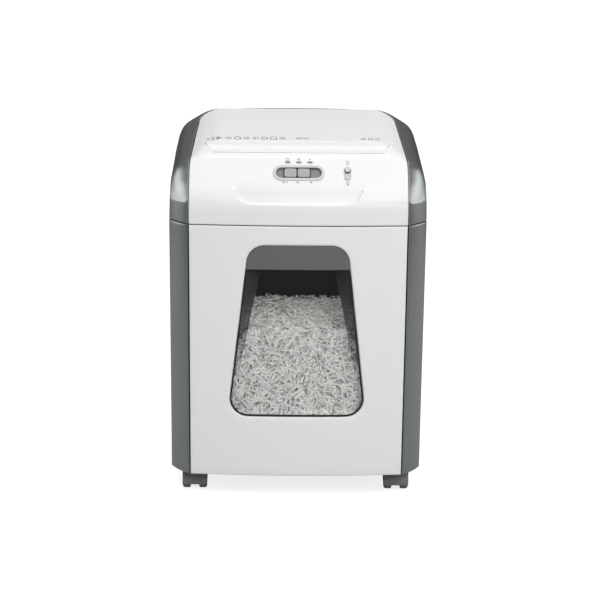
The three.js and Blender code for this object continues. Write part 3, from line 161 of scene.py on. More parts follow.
class ShredderSizes(bpy.types.PropertyGroup):
    """Sizes of the fine shape that a user may change."""

    joint_gap: bpy.props.FloatProperty(
        name="Joint Gap", description="Dark joint between the white and the grey panels",
        default=1.4 * MM, min=0.0005, max=0.003, unit="LENGTH", precision=4,
    )
    edge_radius: bpy.props.FloatProperty(
        name="Edge Radius", description="Rounding of the free edges of the moulded panels",
        default=1.2 * MM, min=0.0004, max=0.002, unit="LENGTH", precision=4,
    )
    wall: bpy.props.FloatProperty(
        name="Wall", description="Thickness of the moulded panels",
        default=2.8 * MM, min=0.002, max=0.003, unit="LENGTH", precision=4,
    )
    scoop_depth: bpy.props.FloatProperty(
        name="Scoop Depth", description="Depth of the hollow round the switches at its lower edge",
        default=4.6 * MM, min=0.0, max=0.005, unit="LENGTH", precision=4,
    )
    strip_width: bpy.props.FloatProperty(
        name="Strip Width", description="Width of a paper strip",
        default=3.0 * MM, min=0.002, max=0.006, unit="LENGTH", precision=4,
    )
    strip_length: bpy.props.FloatProperty(
        name="Strip Length", description="Longest paper strip",
        default=27.0 * MM, min=0.015, max=0.05, unit="LENGTH", precision=4,
    )
    strip_count: bpy.props.IntProperty(
        name="Strips", description="Number of loose paper strips", default=4600, min=500, max=8000,
    )


class ShredderColours(bpy.types.PropertyGroup):
    """Colours of the mouldings, as sRGB hex values."""

    white: bpy.props.StringProperty(name="White", description="Cover and bin front", default="#f2f2f1")
    silver: bpy.props.StringProperty(name="Silver", description="Side panels", default="#8e9392")
    dark: bpy.props.StringProperty(name="Dark", description="Back cover and inner pieces", default="#3a3b3d")
    grip: bpy.props.StringProperty(name="Grip", description="Strip across the window", default="#656568")
    switch: bpy.props.StringProperty(name="Switch", description="Sliders of the switch", default="#aaacad")
    caster: bpy.props.StringProperty(name="Caster", description="Wheels and forks", default="#7c7c7e")
    paper: bpy.props.StringProperty(name="Paper", description="Shreds", default="#f6f6f3")


def sizes():
    """The sizes set in the scene."""
    return bpy.context.scene.shredder_sizes


def colours():
    """The colours set in the scene."""
    return bpy.context.scene.shredder_colours


# ---------------------------------------------------------------- small maths


def interpolate(table, x, column=1):
    """Value at x in a table of rising rows, straight between rows and level beyond them."""
    if x <= table[0][0]:
        return table[0][column]
    for before, after in zip(table, table[1:]):
        if x <= after[0]:
            share = (x - before[0]) / (after[0] - before[0])
            return before[column] + (after[column] - before[column]) * share
    return table[-1][column]


def softened(function, x, reach):
    """Average of a function round x, which turns its corners into curves."""
    if reach <= 0:
        return function(x)
    samples = 6
    return sum(function(x + reach * (2 * i / samples - 1)) for i in range(samples + 1)) / (samples + 1)


def soft_min(a, b, reach):
    """The smaller of two heights, with a rounded change from one to the other."""
    near = max(reach - abs(a - b), 0) / reach
    return min(a, b) - near * near * reach / 4


def smooth_step(low, high, x):
    """Share from 0 at low to 1 at high, level at both ends."""
    share = min(max((x - low) / (high - low), 0), 1)
    return share * share * (3 - 2 * share)


def rounded_path(points, radii, step):
    """Points along a path whose corners are replaced by curves, no further apart than a step."""
    path = [Vector(points[0])]
    for before, here, after, radius in zip(points, points[1:], points[2:], radii):
        here = Vector(here)
        towards = Vector(before) - here
        onwards = Vector(after) - here
        turn = math.pi - towards.angle(onwards)
        reach = min(radius * math.tan(turn / 2), towards.length * 0.49, onwards.length * 0.49)
        start = here + towards.normalized() * reach
        end = here + onwards.normalized() * reach
        bends = 5
        for i in range(bends + 1):
            t = i / bends
            path.append(start * (1 - t) ** 2 + here * 2 * t * (1 - t) + end * t * t)
    path.append(Vector(points[-1]))
    dense = [path[0]]
    for a, b in zip(path, path[1:]):
        count = max(1, math.ceil((b - a).length / step))
        dense += [a.lerp(b, i / count) for i in range(1, count + 1)]
    return dense


# ---------------------------------------------------------------- meshes


def new_object(name, bm, body, material, sharp=35):
    """Adds a bmesh to the frame as an object that rides on a CAD body, with its material."""
    obj = bpy.data.objects.new(name, finish_mesh(bm, name, sharp))
    bpy.context.scene.collection.objects.link(obj)
    obj.data.materials.append(material)
    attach(obj, body)
    return obj


def finish_mesh(bm, name, sharp):
    """Turns a bmesh in millimetres into a mesh in metres.

    It is smooth except at edges sharper than an angle in degrees, or flat all over for None."""
    for vertex in bm.verts:
        vertex.co *= MM
    bm.normal_update()
    mesh = bpy.data.meshes.new(name)
    bm.to_mesh(mesh)
    bm.free()
    if sharp is not None:
        mesh.shade_smooth()
        mesh.set_sharp_from_angle(angle=math.radians(sharp))
    return mesh


def grid_faces(rows, columns, start=0, close=False):
    """Quads of a grid whose vertices are numbered row by row."""
    faces = []
    last = columns if close else columns - 1
    for r in range(rows - 1):
        for c in range(last):
            a = start + r * columns + c
            b = start + r * columns + (c + 1) % columns
            faces.append((a, b, b + columns, a + columns))
    return faces


def skin(points, faces, mirrored=False):
    """An open bmesh in millimetres, mirrored to the left if asked, with doubled vertices merged."""
    bm = bmesh.new()
    side = -1 if mirrored else 1
    made = [bm.verts.new((p[0] * side, p[1], p[2])) for p in points]
    for face in faces:
        ring = [made[i] for i in (reversed(face) if mirrored else face)]
        bm.faces.new(ring)
    bmesh.ops.remove_doubles(bm, verts=bm.verts, dist=0.002)
    bmesh.ops.dissolve_degenerate(bm, edges=bm.edges, dist=0.001)
    bm.normal_update()
    return bm


def thicken(bm, wall, radius, steps=3):
    """Closes an open skin into a moulded wall whose free edges are rolled over by a radius."""
    bm.normal_update()
    bm.verts.ensure_lookup_table()
    skin_faces = list(bm.faces)
    skin_verts = list(bm.verts)
    rim_loops = [e.link_loops[0] for e in bm.edges if e.is_boundary]
    outward = {}
    for loop in rim_loops:
        here, there = loop.vert, loop.link_loop_next.vert
        direction = (there.co - here.co).normalized().cross(loop.face.normal)
        for vertex in (here, there):
            outward.setdefault(vertex, []).append(direction)
    inner = {v: bm.verts.new(v.co - v.normal * wall) for v in skin_verts}
    for face in skin_faces:
        bm.faces.new([inner[v] for v in reversed(face.verts[:])])
    rings = {}
    for vertex, directions in outward.items():
        total = sum(directions, Vector())
        if total.length < 1e-6:
            total = directions[0].copy()
        total.normalize()
        mitre = radius / max(0.5, total.dot(directions[0]))
        normal = vertex.normal
        ring = [vertex]
        for i in range(1, steps + 1):
            angle = math.pi / 2 * i / steps
            place = vertex.co + total * mitre * math.sin(angle) - normal * radius * (1 - math.cos(angle))
            ring.append(bm.verts.new(place))
        ring.append(bm.verts.new(vertex.co + total * mitre - normal * wall))
        ring.append(inner[vertex])
        rings[vertex] = ring
    for loop in rim_loops:
        a, b = rings[loop.vert], rings[loop.link_loop_next.vert]
        for i in range(len(a) - 1):
            bm.faces.new((b[i], a[i], a[i + 1], b[i + 1]))
    return bm


def loft(rings, cap_first=True, cap_last=True, matrix=None):
    """A closed skin through rings of points with equal counts."""
    count = len(rings[0])
    points = [p for ring in rings for p in ring]
    faces = grid_faces(len(rings), count, close=True)
    if cap_first:
        faces.append(tuple(reversed(range(count))))
    if cap_last:
        base = (len(rings) - 1) * count
        faces.append(tuple(base + i for i in range(count)))
    if matrix is not None:
        points = [matrix @ Vector(p) for p in points]
    return skin(points, faces)


def outwards(bm):
    """The same closed bmesh with all its faces looking outwards."""
    bmesh.ops.recalc_face_normals(bm, faces=bm.faces)
    return bm


def face_along_y(bm, sign):
    """Turns an open skin over unless its largest face looks along Y in a direction."""
    bm.normal_update()
    if max(bm.faces, key=lambda f: f.calc_area()).normal.y * sign < 0:
        bmesh.ops.reverse_faces(bm, faces=bm.faces)


def arc(centre, radius, sweep, count, first=0):
    """Plan points round a centre, from the X direction through an angle."""
    angles = [sweep * i / count for i in range(first, count + 1)]
    return [centre + radius * Vector((math.cos(a), math.sin(a))) for a in angles]


def merge(bm, *others):
    """Adds other bmeshes to the first one and frees them."""
    for other in others:
        mesh = bpy.data.meshes.new("part")
        other.to_mesh(mesh)
        other.free()
        bm.from_mesh(mesh)
        bpy.data.meshes.remove(mesh)
    return bm


def stadium(length, height, z, x=0.0, y=0.0, segments=12):
    """Ring of points of a slot shape with round ends, anticlockwise."""
    radius = min(length, height) / 2
    reach = max(length, height) / 2 - radius
    ring = []
    for i in range(2 * segments + 2):
        second = i > segments
        angle = -math.pi / 2 + math.pi * ((i - 1 if second else i) / segments)
        along = radius * math.cos(angle) + (-reach if second else reach)
        across = radius * math.sin(angle)
        point = (along, across) if length >= height else (-across, along)
        ring.append((x + point[0], y + point[1], z))
    return ring


def rounded_polygon(points, radius, steps=8, sides=20):
    """Ring round a polygon: each corner a curve of steps, each side cut into equal lengths."""
    ring = []
    curves = []
    for i, here in enumerate(points):
        here = Vector(here)
        before = (Vector(points[i - 1]) - here).normalized()
        after = (Vector(points[(i + 1) % len(points)]) - here).normalized()
        half = before.angle(after) / 2
        reach = radius / math.tan(half)
        middle = here + (before + after).normalized() * (radius / math.sin(half))
        start = here + before * reach - middle
        end = here + after * reach - middle
        sweep = math.pi - 2 * half
        turn = 1 if start.x * end.y - start.y * end.x > 0 else -1
        curve = []
        for k in range(steps + 1):
            angle = turn * sweep * k / steps
            c, s = math.cos(angle), math.sin(angle)
            curve.append(middle + Vector((start.x * c - start.y * s, start.x * s + start.y * c)))
        curves.append(curve)
    for i, curve in enumerate(curves):
        ring += curve
        following = curves[(i + 1) % len(curves)][0]
        ring += [curve[-1].lerp(following, k / sides) for k in range(1, sides)]
    return ring


def rectangle_ring(left, right, low, high, steps=8, sides=20, share=0.14):
    """Ring round a four-sided outline that matches rounded_polygon point for point.

    left and right give the outline's edge at a height."""
    def side_point(side, t):
        if side == 0:
            return Vector((left(low) + (right(low) - left(low)) * t, low))
        if side == 1:
            z = low + (high - low) * t
            return Vector((right(z), z))
        if side == 2:
            return Vector((right(high) + (left(high) - right(high)) * t, high))
        z = high + (low - high) * t
        return Vector((left(z), z))

    ring = []
    for side in range(4):
        for k in range(steps + 1):
            if k < steps / 2:
                ring.append(side_point((side - 1) % 4, 1 - share * (1 - 2 * k / steps)))
            else:
                ring.append(side_point(side, share * (2 * k / steps - 1)))
        for k in range(1, sides):
            ring.append(side_point(side, share + (1 - 2 * share) * k / sides))
    return ring


def lathe(profile, segments, matrix):
    """A closed solid turned round the local Z axis from (radius, height) points that start and end on it."""
    angles = [2 * math.pi * i / segments for i in range(segments)]
    rings = [[(r * math.cos(a), r * math.sin(a), height) for a in angles] for r, height in profile[1:-1]]
    return loft(rings, matrix=matrix)


# ---------------------------------------------------------------- body surface


def bow(x):
    """How far the bowed front has fallen back from its middle."""
    return FRONT_BOW * (x / FRONT_HALF) ** 2


def face_y(x):
    """Y of the bowed front of the head and the bin."""
    return FRONT_Y + bow(x)


def side_draw(z):
    """How far the sides have come in at a height."""
    return interpolate(SIDE_DRAW, z - SEAM_Z)


def shoulder_height(x, y):
    """Height of the rounded shoulders over a place, sheared so that they follow the sloping top."""
    x = abs(x)
    reach = min(3.0, max(0.0, 175.5 - x))
    drop = softened(lambda at: interpolate(SHOULDER, at), x, reach)
    return TOP_Z + (y - COVER_REAR_Y) * TOP_SLOPE + drop


def corner_curve(t):
    """Plan point of the front corner, from the bowed front's edge to the side."""
    crown_x = (FRONT_HALF + HALF_WIDTH) / 2 + CORNER_CROWN
    crown_y = (EDGE_Y + EDGE_Y + CORNER_DEPTH) / 2 - CORNER_CROWN
    x = FRONT_HALF * (1 - t) ** 2 + crown_x * 2 * t * (1 - t) + HALF_WIDTH * t * t
    y = EDGE_Y * (1 - t) ** 2 + crown_y * 2 * t * (1 - t) + (EDGE_Y + CORNER_DEPTH) * t * t
    return Vector((x, y))


CORNER = [tuple(corner_curve(i / 40)) for i in range(41)]
CORNER_BY_Y = [(y, x) for x, y in CORNER]


def front_line(x):
    """Y of the body's foremost line at a half width."""
    x = abs(x)
    if x <= FRONT_HALF:
        return face_y(x)
    return interpolate(CORNER, min(x, HALF_WIDTH))


RISE = [(back - flat * FRONT_BOW, rise) for back, rise, flat in FRONT_PROFILE]
RISE += [(THROAT_REAR[0] - FRONT_BOW, THROAT_REAR[1]), (400, THROAT_REAR[1] + (330 * TOP_SLOPE))]


def corner_height(x, y):
    """Height of the leaning front over a place in the slanted corners, and of the top behind it."""
    depth = y - front_line(x)
    return CREASE_Z + softened(lambda at: interpolate(RISE, max(at, 0)), depth, min(5.0, max(0.0, depth)))


def blend_reach(y, line):
    """How widely the front rounds over into the shoulders: wide in front, tight on the top."""
    return 11 - 9 * smooth_step(38, 74, y - line)


def rear_drop(y):
    """How far the top edge is rounded down at the back."""
    over = min(max(y - COVER_REAR_Y, 0), 11.6) / 11.6
    return 9 * (1 - math.sqrt(max(0.0, 1 - over * over)))


def side_height(x, y):
    """Height of the grey side's outer surface over a place."""
    z = TOP_Z - 40
    for _ in range(6):
        plain_x = x / (1 - side_draw(z) / HALF_WIDTH)
        front = corner_height(plain_x, y)
        z = soft_min(front, shoulder_height(x, y), blend_reach(y, front_line(min(plain_x, HALF_WIDTH))))
    cap = TOP_Z + (min(y, COVER_REAR_Y) - COVER_REAR_Y) * TOP_SLOPE - rear_drop(y)
    return soft_min(z, cap, 3)


def cover_half(y):
    """Half width of the white cover in plan."""
    if y <= EDGE_Y:
        return FRONT_HALF
    if y <= COVER_ARC_Y:
        return FRONT_HALF - COVER_NARROWING * (y - EDGE_Y) / (COVER_ARC_Y - EDGE_Y)
    into = min(y - COVER_ARC_Y, COVER_REAR_RADIUS)
    return FRONT_HALF - COVER_NARROWING - COVER_REAR_RADIUS + math.sqrt(COVER_REAR_RADIUS**2 - into**2)


# ---------------------------------------------------------------- white cover of the head

FLAT_BY_RISE = [(rise, flat) for _, rise, flat in FRONT_PROFILE]


def front_rows(margin):
    """Centre profile of the white front as (setback, height), corners rounded, from the seam to the lip."""
    bends = [(0, COVER_LOW.z + margin)]
    bends += [(back, CREASE_Z + rise) for back, rise, _ in FRONT_PROFILE]
    rows = rounded_path(bends, [42, 50, 8, 6], 2.4)
    fine = [rows[0]]
    for a, b in zip(rows, rows[1:]):
        count = 4 if CREASE_Z - 4 < a.y < CREASE_Z + 32 else 1
        fine += [a.lerp(b, i / count) for i in range(1, count + 1)]
    return fine


def scoop(x, z):
    """Depth of the shallow hollow round the switches: deepest at its lower edge, gone at the switches."""
    x = abs(x)
    base = CREASE_Z - 1.0
    if x > 62:
        share = min((x - 62) / 26, 1)
        base += 30 * (1 - math.sqrt(1 - share * share))
        if x > 87.9:
            return 0.0
    edge = smooth_step(base, base + 2.8, z)
    fade = 1 - smooth_step(CREASE_Z + 4, CREASE_Z + 31, z)
    return sizes().scoop_depth / MM * edge * fade


def front_point(x, setback, z):
    """Point of the white front for a place on its centre profile."""
    flat = interpolate(FLAT_BY_RISE, z - CREASE_Z)
    y = FRONT_Y + setback + (1 - flat) * bow(x)
    hollow = scoop(x, z)
    z = soft_min(z, shoulder_height(x, y), 11)
    return Vector((x, y + hollow, z))


def make_head_cover():
    """White top and front of the head, with the paper throat sunk behind its lip."""
    radius = sizes().edge_radius / MM
    front = front_rows(radius)
    front[-1] = Vector((FRONT_PROFILE[-1][0] - 1.0, LIP_Z - 0.45))
    rows = [("front", p[0], p[1]) for p in front]
    lip_row = len(rows) - 1
    throat = [LIP_Y + SLOT_WIDTH, LIP_Y + 14, LIP_Y + 22, LIP_Y + 30, THROAT_REAR_Y + 0.6]
    rows += [("top", y, 0) for y in throat]
    rear_row = len(rows) - 1
    y = THROAT_REAR_Y + 0.6
    while y < COVER_ARC_Y - 8:
        y += 8
        rows.append(("top", y, 0))
    for i in range(13):
        rows.append(("top", COVER_ARC_Y + (COVER_REAR_RADIUS - radius) * math.sin(math.pi / 2 * i / 12), 0))
    inner_count = 48
    outer_count = 12

    def throat_half(y):
        share = min(max((y - LIP_Y) / (THROAT_REAR_Y - LIP_Y), 0), 1)
        half = SLOT_HALF + (THROAT_HALF - SLOT_HALF) * share
        return half * cover_half(max(y, THROAT_REAR_Y)) / cover_half(THROAT_REAR_Y)

    def columns(y):
        inner = throat_half(y)
        outer = cover_half(y) - radius
        if y > COVER_ARC_Y:
            into = min(y - COVER_ARC_Y, COVER_REAR_RADIUS - radius)
            reach = COVER_REAR_RADIUS - radius
            outer = FRONT_HALF - COVER_NARROWING - COVER_REAR_RADIUS + math.sqrt(max(0, reach**2 - into**2))
            inner = min(inner, outer * 0.9)
        right = [inner * i / inner_count for i in range(inner_count + 1)]
        right += [inner + (outer - inner) * i / outer_count for i in range(1, outer_count + 1)]
        return [-x for x in reversed(right[1:])] + right

    points = []
    width = 2 * (inner_count + outer_count) + 1
    first = outer_count
    last = outer_count + 2 * inner_count
    top_line = [(LIP_Y, LIP_Z), (THROAT_REAR_Y, CREASE_Z + THROAT_REAR[1]), (COVER_REAR_Y, TOP_Z)]
    for kind, a, b in rows:
        if kind == "front":
            plan_y = FRONT_Y + a
            for x in columns(plan_y):
                points.append(front_point(x, a, b))
        else:
            for x in columns(a):
                height = interpolate(top_line, a)
                reach = blend_reach(a, front_line(x))
                points.append(Vector((x, a, soft_min(height, shoulder_height(x, a), reach))))
    faces = []
    for r in range(len(rows) - 1):
        for c in range(width - 1):
            if lip_row <= r < rear_row and first <= c < last:
                continue
            i = r * width + c
            faces.append((i, i + 1, i + 1 + width, i + width))

    # The throat inside the skin: lip, slot walls, sloping floor, upright rear wall
    floor_rear = CREASE_Z + THROAT_REAR[1] - 7.5
    floor_front = LIP_Z + 0.5
    section = [
        (LIP_Y - 0.25, LIP_Z - 0.05), (LIP_Y, LIP_Z - 0.6), (LIP_Y, LIP_Z - 27),
    ]
    rear_wall = [
        (LIP_Y + SLOT_WIDTH + 1.2, LIP_Z - 24), (LIP_Y + SLOT_WIDTH + 0.9, LIP_Z - 3),
        (LIP_Y + SLOT_WIDTH, floor_front - 0.5), (LIP_Y + SLOT_WIDTH + 0.8, floor_front),
        (LIP_Y + 14, floor_front + 0.7), (LIP_Y + 22, floor_front + 1.5),
        (THROAT_REAR_Y - 2.4, floor_rear - 0.1), (THROAT_REAR_Y - 1.0, floor_rear + 0.5),
        (THROAT_REAR_Y - 0.6, floor_rear + 1.8), (THROAT_REAR_Y - 1.2, floor_rear + 6.5),
        (THROAT_REAR_Y - 0.6, floor_rear + 7.2),
    ]

    def strip(profile):
        start = len(points)
        for y, z in profile:
            reach = throat_half(y)
            for i in range(2 * inner_count + 1):
                points.append(Vector((reach * (i / inner_count - 1), y, z)))
        return start

    span = 2 * inner_count + 1
    start = strip(section)
    for c in range(span - 1):
        i = lip_row * width + first + c
        faces.append((i, i + 1, start + c + 1, start + c))
    faces += grid_faces(len(section), span, start)
    back = strip(rear_wall)
    faces += grid_faces(len(rear_wall), span, back)
    for c in range(span - 1):
        i = rear_row * width + first + c
        j = back + (len(rear_wall) - 1) * span + c
        faces.append((j, j + 1, i + 1, i))
    # Ends of the throat
    for end, offset in ((0, first), (span - 1, last)):
        surface = [r * width + offset for r in range(lip_row, rear_row + 1)]
        floor = [start + k * span + end for k in range(len(section))]
        ramp = [back + k * span + end for k in range(len(rear_wall))]
        polygon = surface + list(reversed(ramp)) + list(reversed(floor))
        faces.append(tuple(polygon if end else reversed(polygon)))
    bm = skin(points, faces)
    bmesh.ops.triangulate(bm, faces=[f for f in bm.faces if len(f.verts) > 4])
    thicken(bm, sizes().wall / MM, radius)
    obj = new_object("Head_Cover", bm, "machine", plain("white_abs"))
    cut_holes(obj)
    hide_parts("head_cover")


def cut_holes(obj):
    """Cuts the openings for the switch, the lock and the lamps through the control panel."""
    low, high = -14, 14
    openings = [(65.0, 19.0, 0, 0), (7.4, 18, LOCK_X, 0)]
    openings += [(7.7, 3.1, step * LAMP_SPACING, LAMP_RISE) for step in (-1, 0, 1)]
    cutters = [
        loft([stadium(length, height, z, x, y) for z in (low, high)], matrix=PANEL)
        for length, height, x, y in openings
    ]
    cut_away(obj, merge(*cutters))


def cut_away(obj, bm):
    """Cuts a closed shape out of an object."""
    cutter = bpy.data.objects.new("cutter", finish_mesh(bm, "cutter", None))
    bpy.context.scene.collection.objects.link(cutter)
    cut = obj.modifiers.new("Openings", "BOOLEAN")
    cut.operation = "DIFFERENCE"
    cut.solver = "EXACT"
    cut.object = cutter
    apply_modifiers(obj)
    bpy.data.objects.remove(cutter)
    obj.data.set_sharp_from_angle(angle=math.radians(35))


def apply_modifiers(obj):
    """Replaces an object's mesh by the result of its modifiers."""
    graph = bpy.context.evaluated_depsgraph_get()
    result = bpy.data.meshes.new_from_object(obj.evaluated_get(graph))
    old = obj.data
    obj.modifiers.clear()
    obj.data = result
    bpy.data.meshes.remove(old)


# ---------------------------------------------------------------- grey sides of the head


def make_head_side(left):
    """One grey side of the head: an upright wall that leans back in front and rounds over at the shoulder."""
    radius = sizes().edge_radius / MM
    gap = sizes().joint_gap / MM + radius
    end_x = BACK_HIGH.x + 0.35 + radius
    rows = []
    y = interpolate(CORNER, FRONT_HALF + gap) + 0.15
    corner_end = EDGE_Y + CORNER_DEPTH
    steps = [0.35, 0.6, 0.9, 1.2] + [1.6] * 24
    for step in steps:
        if y > corner_end - 0.8:
            break
        rows.append((Vector((interpolate(CORNER_BY_Y, y), y)), Vector((cover_half(y) + gap, y))))
        y += step
    y = corner_end
    while y < COVER_ARC_Y - 2:
        rows.append((Vector((HALF_WIDTH, y)), Vector((cover_half(y) + gap, y))))
        y += 2.5 if y < corner_end + 30 else 7
    # Round the back the two edges are followed together
    outer = [Vector((HALF_WIDTH, COVER_ARC_Y)), Vector((HALF_WIDTH, REAR_Y - REAR_RADIUS))]
    centre = Vector((HALF_WIDTH - REAR_RADIUS, REAR_Y - REAR_RADIUS))
    outer += arc(centre, REAR_RADIUS, math.pi / 2, 14, first=1)
    outer.append(Vector((end_x, REAR_Y)))
    inner_centre = Vector((FRONT_HALF - COVER_NARROWING - COVER_REAR_RADIUS, COVER_ARC_Y))
    inner_radius = COVER_REAR_RADIUS + gap
    last_angle = math.acos(min(1.0, (end_x - inner_centre.x) / inner_radius))
    inner = arc(inner_centre, inner_radius, last_angle, 20)
    count = 26
    rows += list(zip(along_path(outer, count), along_path(inner, count)))

    across = 18
    points = []
    low_z = COVER_LOW.z + radius
    for outside, inside in rows:
        edge_z = TOP_Z - 60
        for _ in range(12):
            scale = 1 - side_draw(edge_z) / HALF_WIDTH
            edge_z = rounded_height(outside.x * scale, outside.y, 0.0)
        scale = 1 - side_draw(edge_z) / HALF_WIDTH
        edge = Vector((outside.x * scale, outside.y))
        levels = [low_z, low_z + 1.5, low_z + 9, low_z + 18, CREASE_Z - 1.6]
        levels = [z for z in levels if z < edge_z - 1.5]
        levels = levels[:3] + [levels[2] + (edge_z - 1.6 - levels[2]) * k / 3 for k in (1, 2, 3)]
        for z in levels:
            points.append(Vector((outside.x * (1 - side_draw(z) / HALF_WIDTH), outside.y, z)))
        for i in range(across + 1):
            share = (i / across) ** 1.7
            place = edge.lerp(inside, share)
            away = (place - edge).length
            points.append(Vector((place.x, place.y, rounded_height(place.x, place.y, away))))
    faces = grid_faces(len(rows), 6 + across + 1)
    bm = skin(points, [tuple(reversed(f)) for f in faces], mirrored=left)
    thicken(bm, sizes().wall / MM, radius)
    name = "Head_Side_Left" if left else "Head_Side_Right"
    obj = new_object(name, bm, "machine", plain("silver_paint"), 50)
    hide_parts("head_side_left" if left else "head_side_right")


def rounded_height(x, y, away):
    """Side height with the rear corner's top edge rounded, from the distance to the outer wall."""
    z = side_height(x, y)
    rear = smooth_step(60, 105, y)
    inward = min(away / 9, 1)
    return z - 7 * rear * (1 - math.sqrt(1 - (1 - inward) ** 2))


def along_path(path, count):
    """Equally spaced points along a polyline."""
    lengths = [0.0]
    for a, b in zip(path, path[1:]):
        lengths.append(lengths[-1] + (b - a).length)
    points = []
    for i in range(count + 1):
        want = lengths[-1] * i / count
        for k in range(len(path) - 1):
            if want <= lengths[k + 1] + 1e-9:
                points.append(path[k].lerp(path[k + 1], (want - lengths[k]) / (lengths[k + 1] - lengths[k])))
                break
    return points


# ---------------------------------------------------------------- back cover


def make_back_cover():
    """Dark back of the head, with a low crest behind the white cover, cooling slots and the cord hole."""
    radius = 0.8
    front_y = BACK_LOW.y + radius
    path = rounded_path(
        [
            (front_y, TOP_Z - 0.4), (front_y + 4.5, TOP_Z + 0.1), (BACK_HIGH.y, TOP_Z - 7),
            (BACK_HIGH.y, BACK_LOW.z + radius),
        ],
        [5, 9], 6,
    )
    columns = 48
    half = BACK_HIGH.x - radius
    points = []
    for place in path:
        for i in range(columns + 1):
            x = half * (2 * i / columns - 1)
            crown = 3.4 * (x / half) ** 4 * smooth_step(TOP_Z - 30, TOP_Z - 2, place.y)
            points.append(Vector((x, place.x, place.y - crown)))
    bm = skin(points, grid_faces(len(path), columns + 1))
    face_along_y(bm, 1)
    thicken(bm, sizes().wall / MM, radius)
    obj = new_object("Head_Back", bm, "machine", plain("dark_abs"), 50)
    cutters = []
    for i in range(9):
        x = 22 + i * VENT_PITCH
        outline = stadium(4, 50, 0, x, CREASE_Z + 20)
        ends = [[(p[0], REAR_Y + reach, p[1]) for p in outline] for reach in (-12, 6)]
        cutters.append(outwards(loft(ends)))
    low, high = corners("cord_gland")
    middle = (low + high) / 2
    hole = Matrix.Translation((middle.x, REAR_Y, middle.z)) @ Matrix.Rotation(-math.pi / 2, 4, "X")
    cutters.append(lathe([(0, -12), (8.3, -12), (8.3, 6), (0, 6)], 40, hole))
    cut_away(obj, merge(*cutters))
    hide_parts("head_back_cover")


# ---------------------------------------------------------------- cabinet sides


def tapered(x, z):
    """A half width of the cabinet, which narrows towards its foot."""
    return x * (1 - TAPER * (SEAM_Z - z))


def make_cabinet_side(left):
    """One grey side of the cabinet, wrapped round from the front corner to the back."""
    radius = sizes().edge_radius / MM
    jamb_x = FRONT_HALF + sizes().joint_gap / MM
    start_t = 0.0
    while corner_curve(start_t).x < jamb_x:
        start_t += 0.002
    corner = [corner_curve(start_t + (1 - start_t) * i / 16) for i in range(17)]
    front = rounded_path(
        [(jamb_x, EDGE_Y + CORNER_DEPTH - 3), (jamb_x, corner[0].y), tuple(corner[2])], [1.6], 12
    )
    centre = Vector((HALF_WIDTH - REAR_RADIUS, REAR_Y - REAR_RADIUS))
    corner_end = EDGE_Y + CORNER_DEPTH
    flat = REAR_Y - REAR_RADIUS - EDGE_Y - CORNER_DEPTH
    side = [Vector((HALF_WIDTH, corner_end + flat * i / 10)) for i in range(1, 10)]
    rear = arc(centre, REAR_RADIUS, math.pi / 2, 14)
    end = [Vector((BACK_HIGH.x + 0.35 + radius, REAR_Y))]
    path = front + corner[3:] + side + rear + end
    low, high = BASE_Z + radius, SIDE_HIGH.z - radius
    levels = [low, low + 2] + [low + (high - low) * i / 12 for i in range(1, 12)] + [high - 2, high]
    points = [Vector((tapered(p.x, z), p.y, z)) for z in levels for p in path]
    bm = skin(points, grid_faces(len(levels), len(path)), mirrored=left)
    thicken(bm, sizes().wall / MM, radius)
    name = "Cabinet_Side_Left" if left else "Cabinet_Side_Right"
    obj = new_object(name, bm, "machine", plain("silver_paint"), 50)
    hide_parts("cabinet_side_left" if left else "cabinet_side_right")


# ---------------------------------------------------------------- bin


def window_half(z):
    """Half width of the window opening at a height."""
    slope = (WINDOW_BASE_HALF - WINDOW_TOP_HALF) / (WINDOW_TOP - WINDOW_BASE)
    return WINDOW_BASE_HALF - slope * (z - WINDOW_BASE)


def window_ring(margin):
    """Outline of the window opening, grown outwards by a margin."""
    low, high = WINDOW_BASE - margin, WINDOW_TOP + margin
    shape = [
        (-window_half(low) - margin, low), (window_half(low) + margin, low),
        (window_half(high) + margin, high), (-window_half(high) - margin, high),
    ]
    return rounded_polygon(shape, WINDOW_RADIUS + margin)


def make_bin_front():
    """White bowed front of the bin, with returned edges and a chamfered window."""
    roll = 1.2
    half = FRONT_HALF - 0.4
    low, high = BIN_LOW.z, BIN_HIGH.z
    flange_y = BIN_HIGH.y - 0.6

    def outer_ring(inset):
        return rectangle_ring(
            lambda z: -tapered(half, z) + inset, lambda z: tapered(half, z) - inset,
            low + inset, high - inset,
        )

    rings = [
        [(p.x, flange_y, p.y) for p in outer_ring(0)],
        [(p.x, face_y(p.x) + roll * 1.6, p.y) for p in outer_ring(0)],
    ]
    for i in range(4):
        angle = math.pi / 2 * i / 3
        inset = roll * (1 - math.cos(angle))
        depth = roll * (1 - math.sin(angle))
        rings.append([(p.x, face_y(p.x) + depth, p.y) for p in outer_ring(inset)])
    edge = outer_ring(roll)
    chamfer = 2.6
    opening = window_ring(chamfer)
    count = 12
    for i in range(1, count):
        share = i / count
        ring = [a.lerp(b, share) for a, b in zip(edge, opening)]
        rings.append([(p.x, face_y(p.x), p.y) for p in ring])
    for margin, depth in ((chamfer, 0), (1.9, 0.15), (1.2, 0.55), (0.6, 1.1), (0.2, 1.7), (0.05, 2.4)):
        rings.append([(p.x, face_y(p.x) + depth, p.y) for p in window_ring(margin)])
    bm = outwards(loft(rings, False, False))
    face_along_y(bm, -1)
    thicken(bm, 2.2, 0.5, 2)
    obj = new_object("Bin_Front", bm, "bin", plain("white_abs"), 50)
    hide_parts("bin_front")


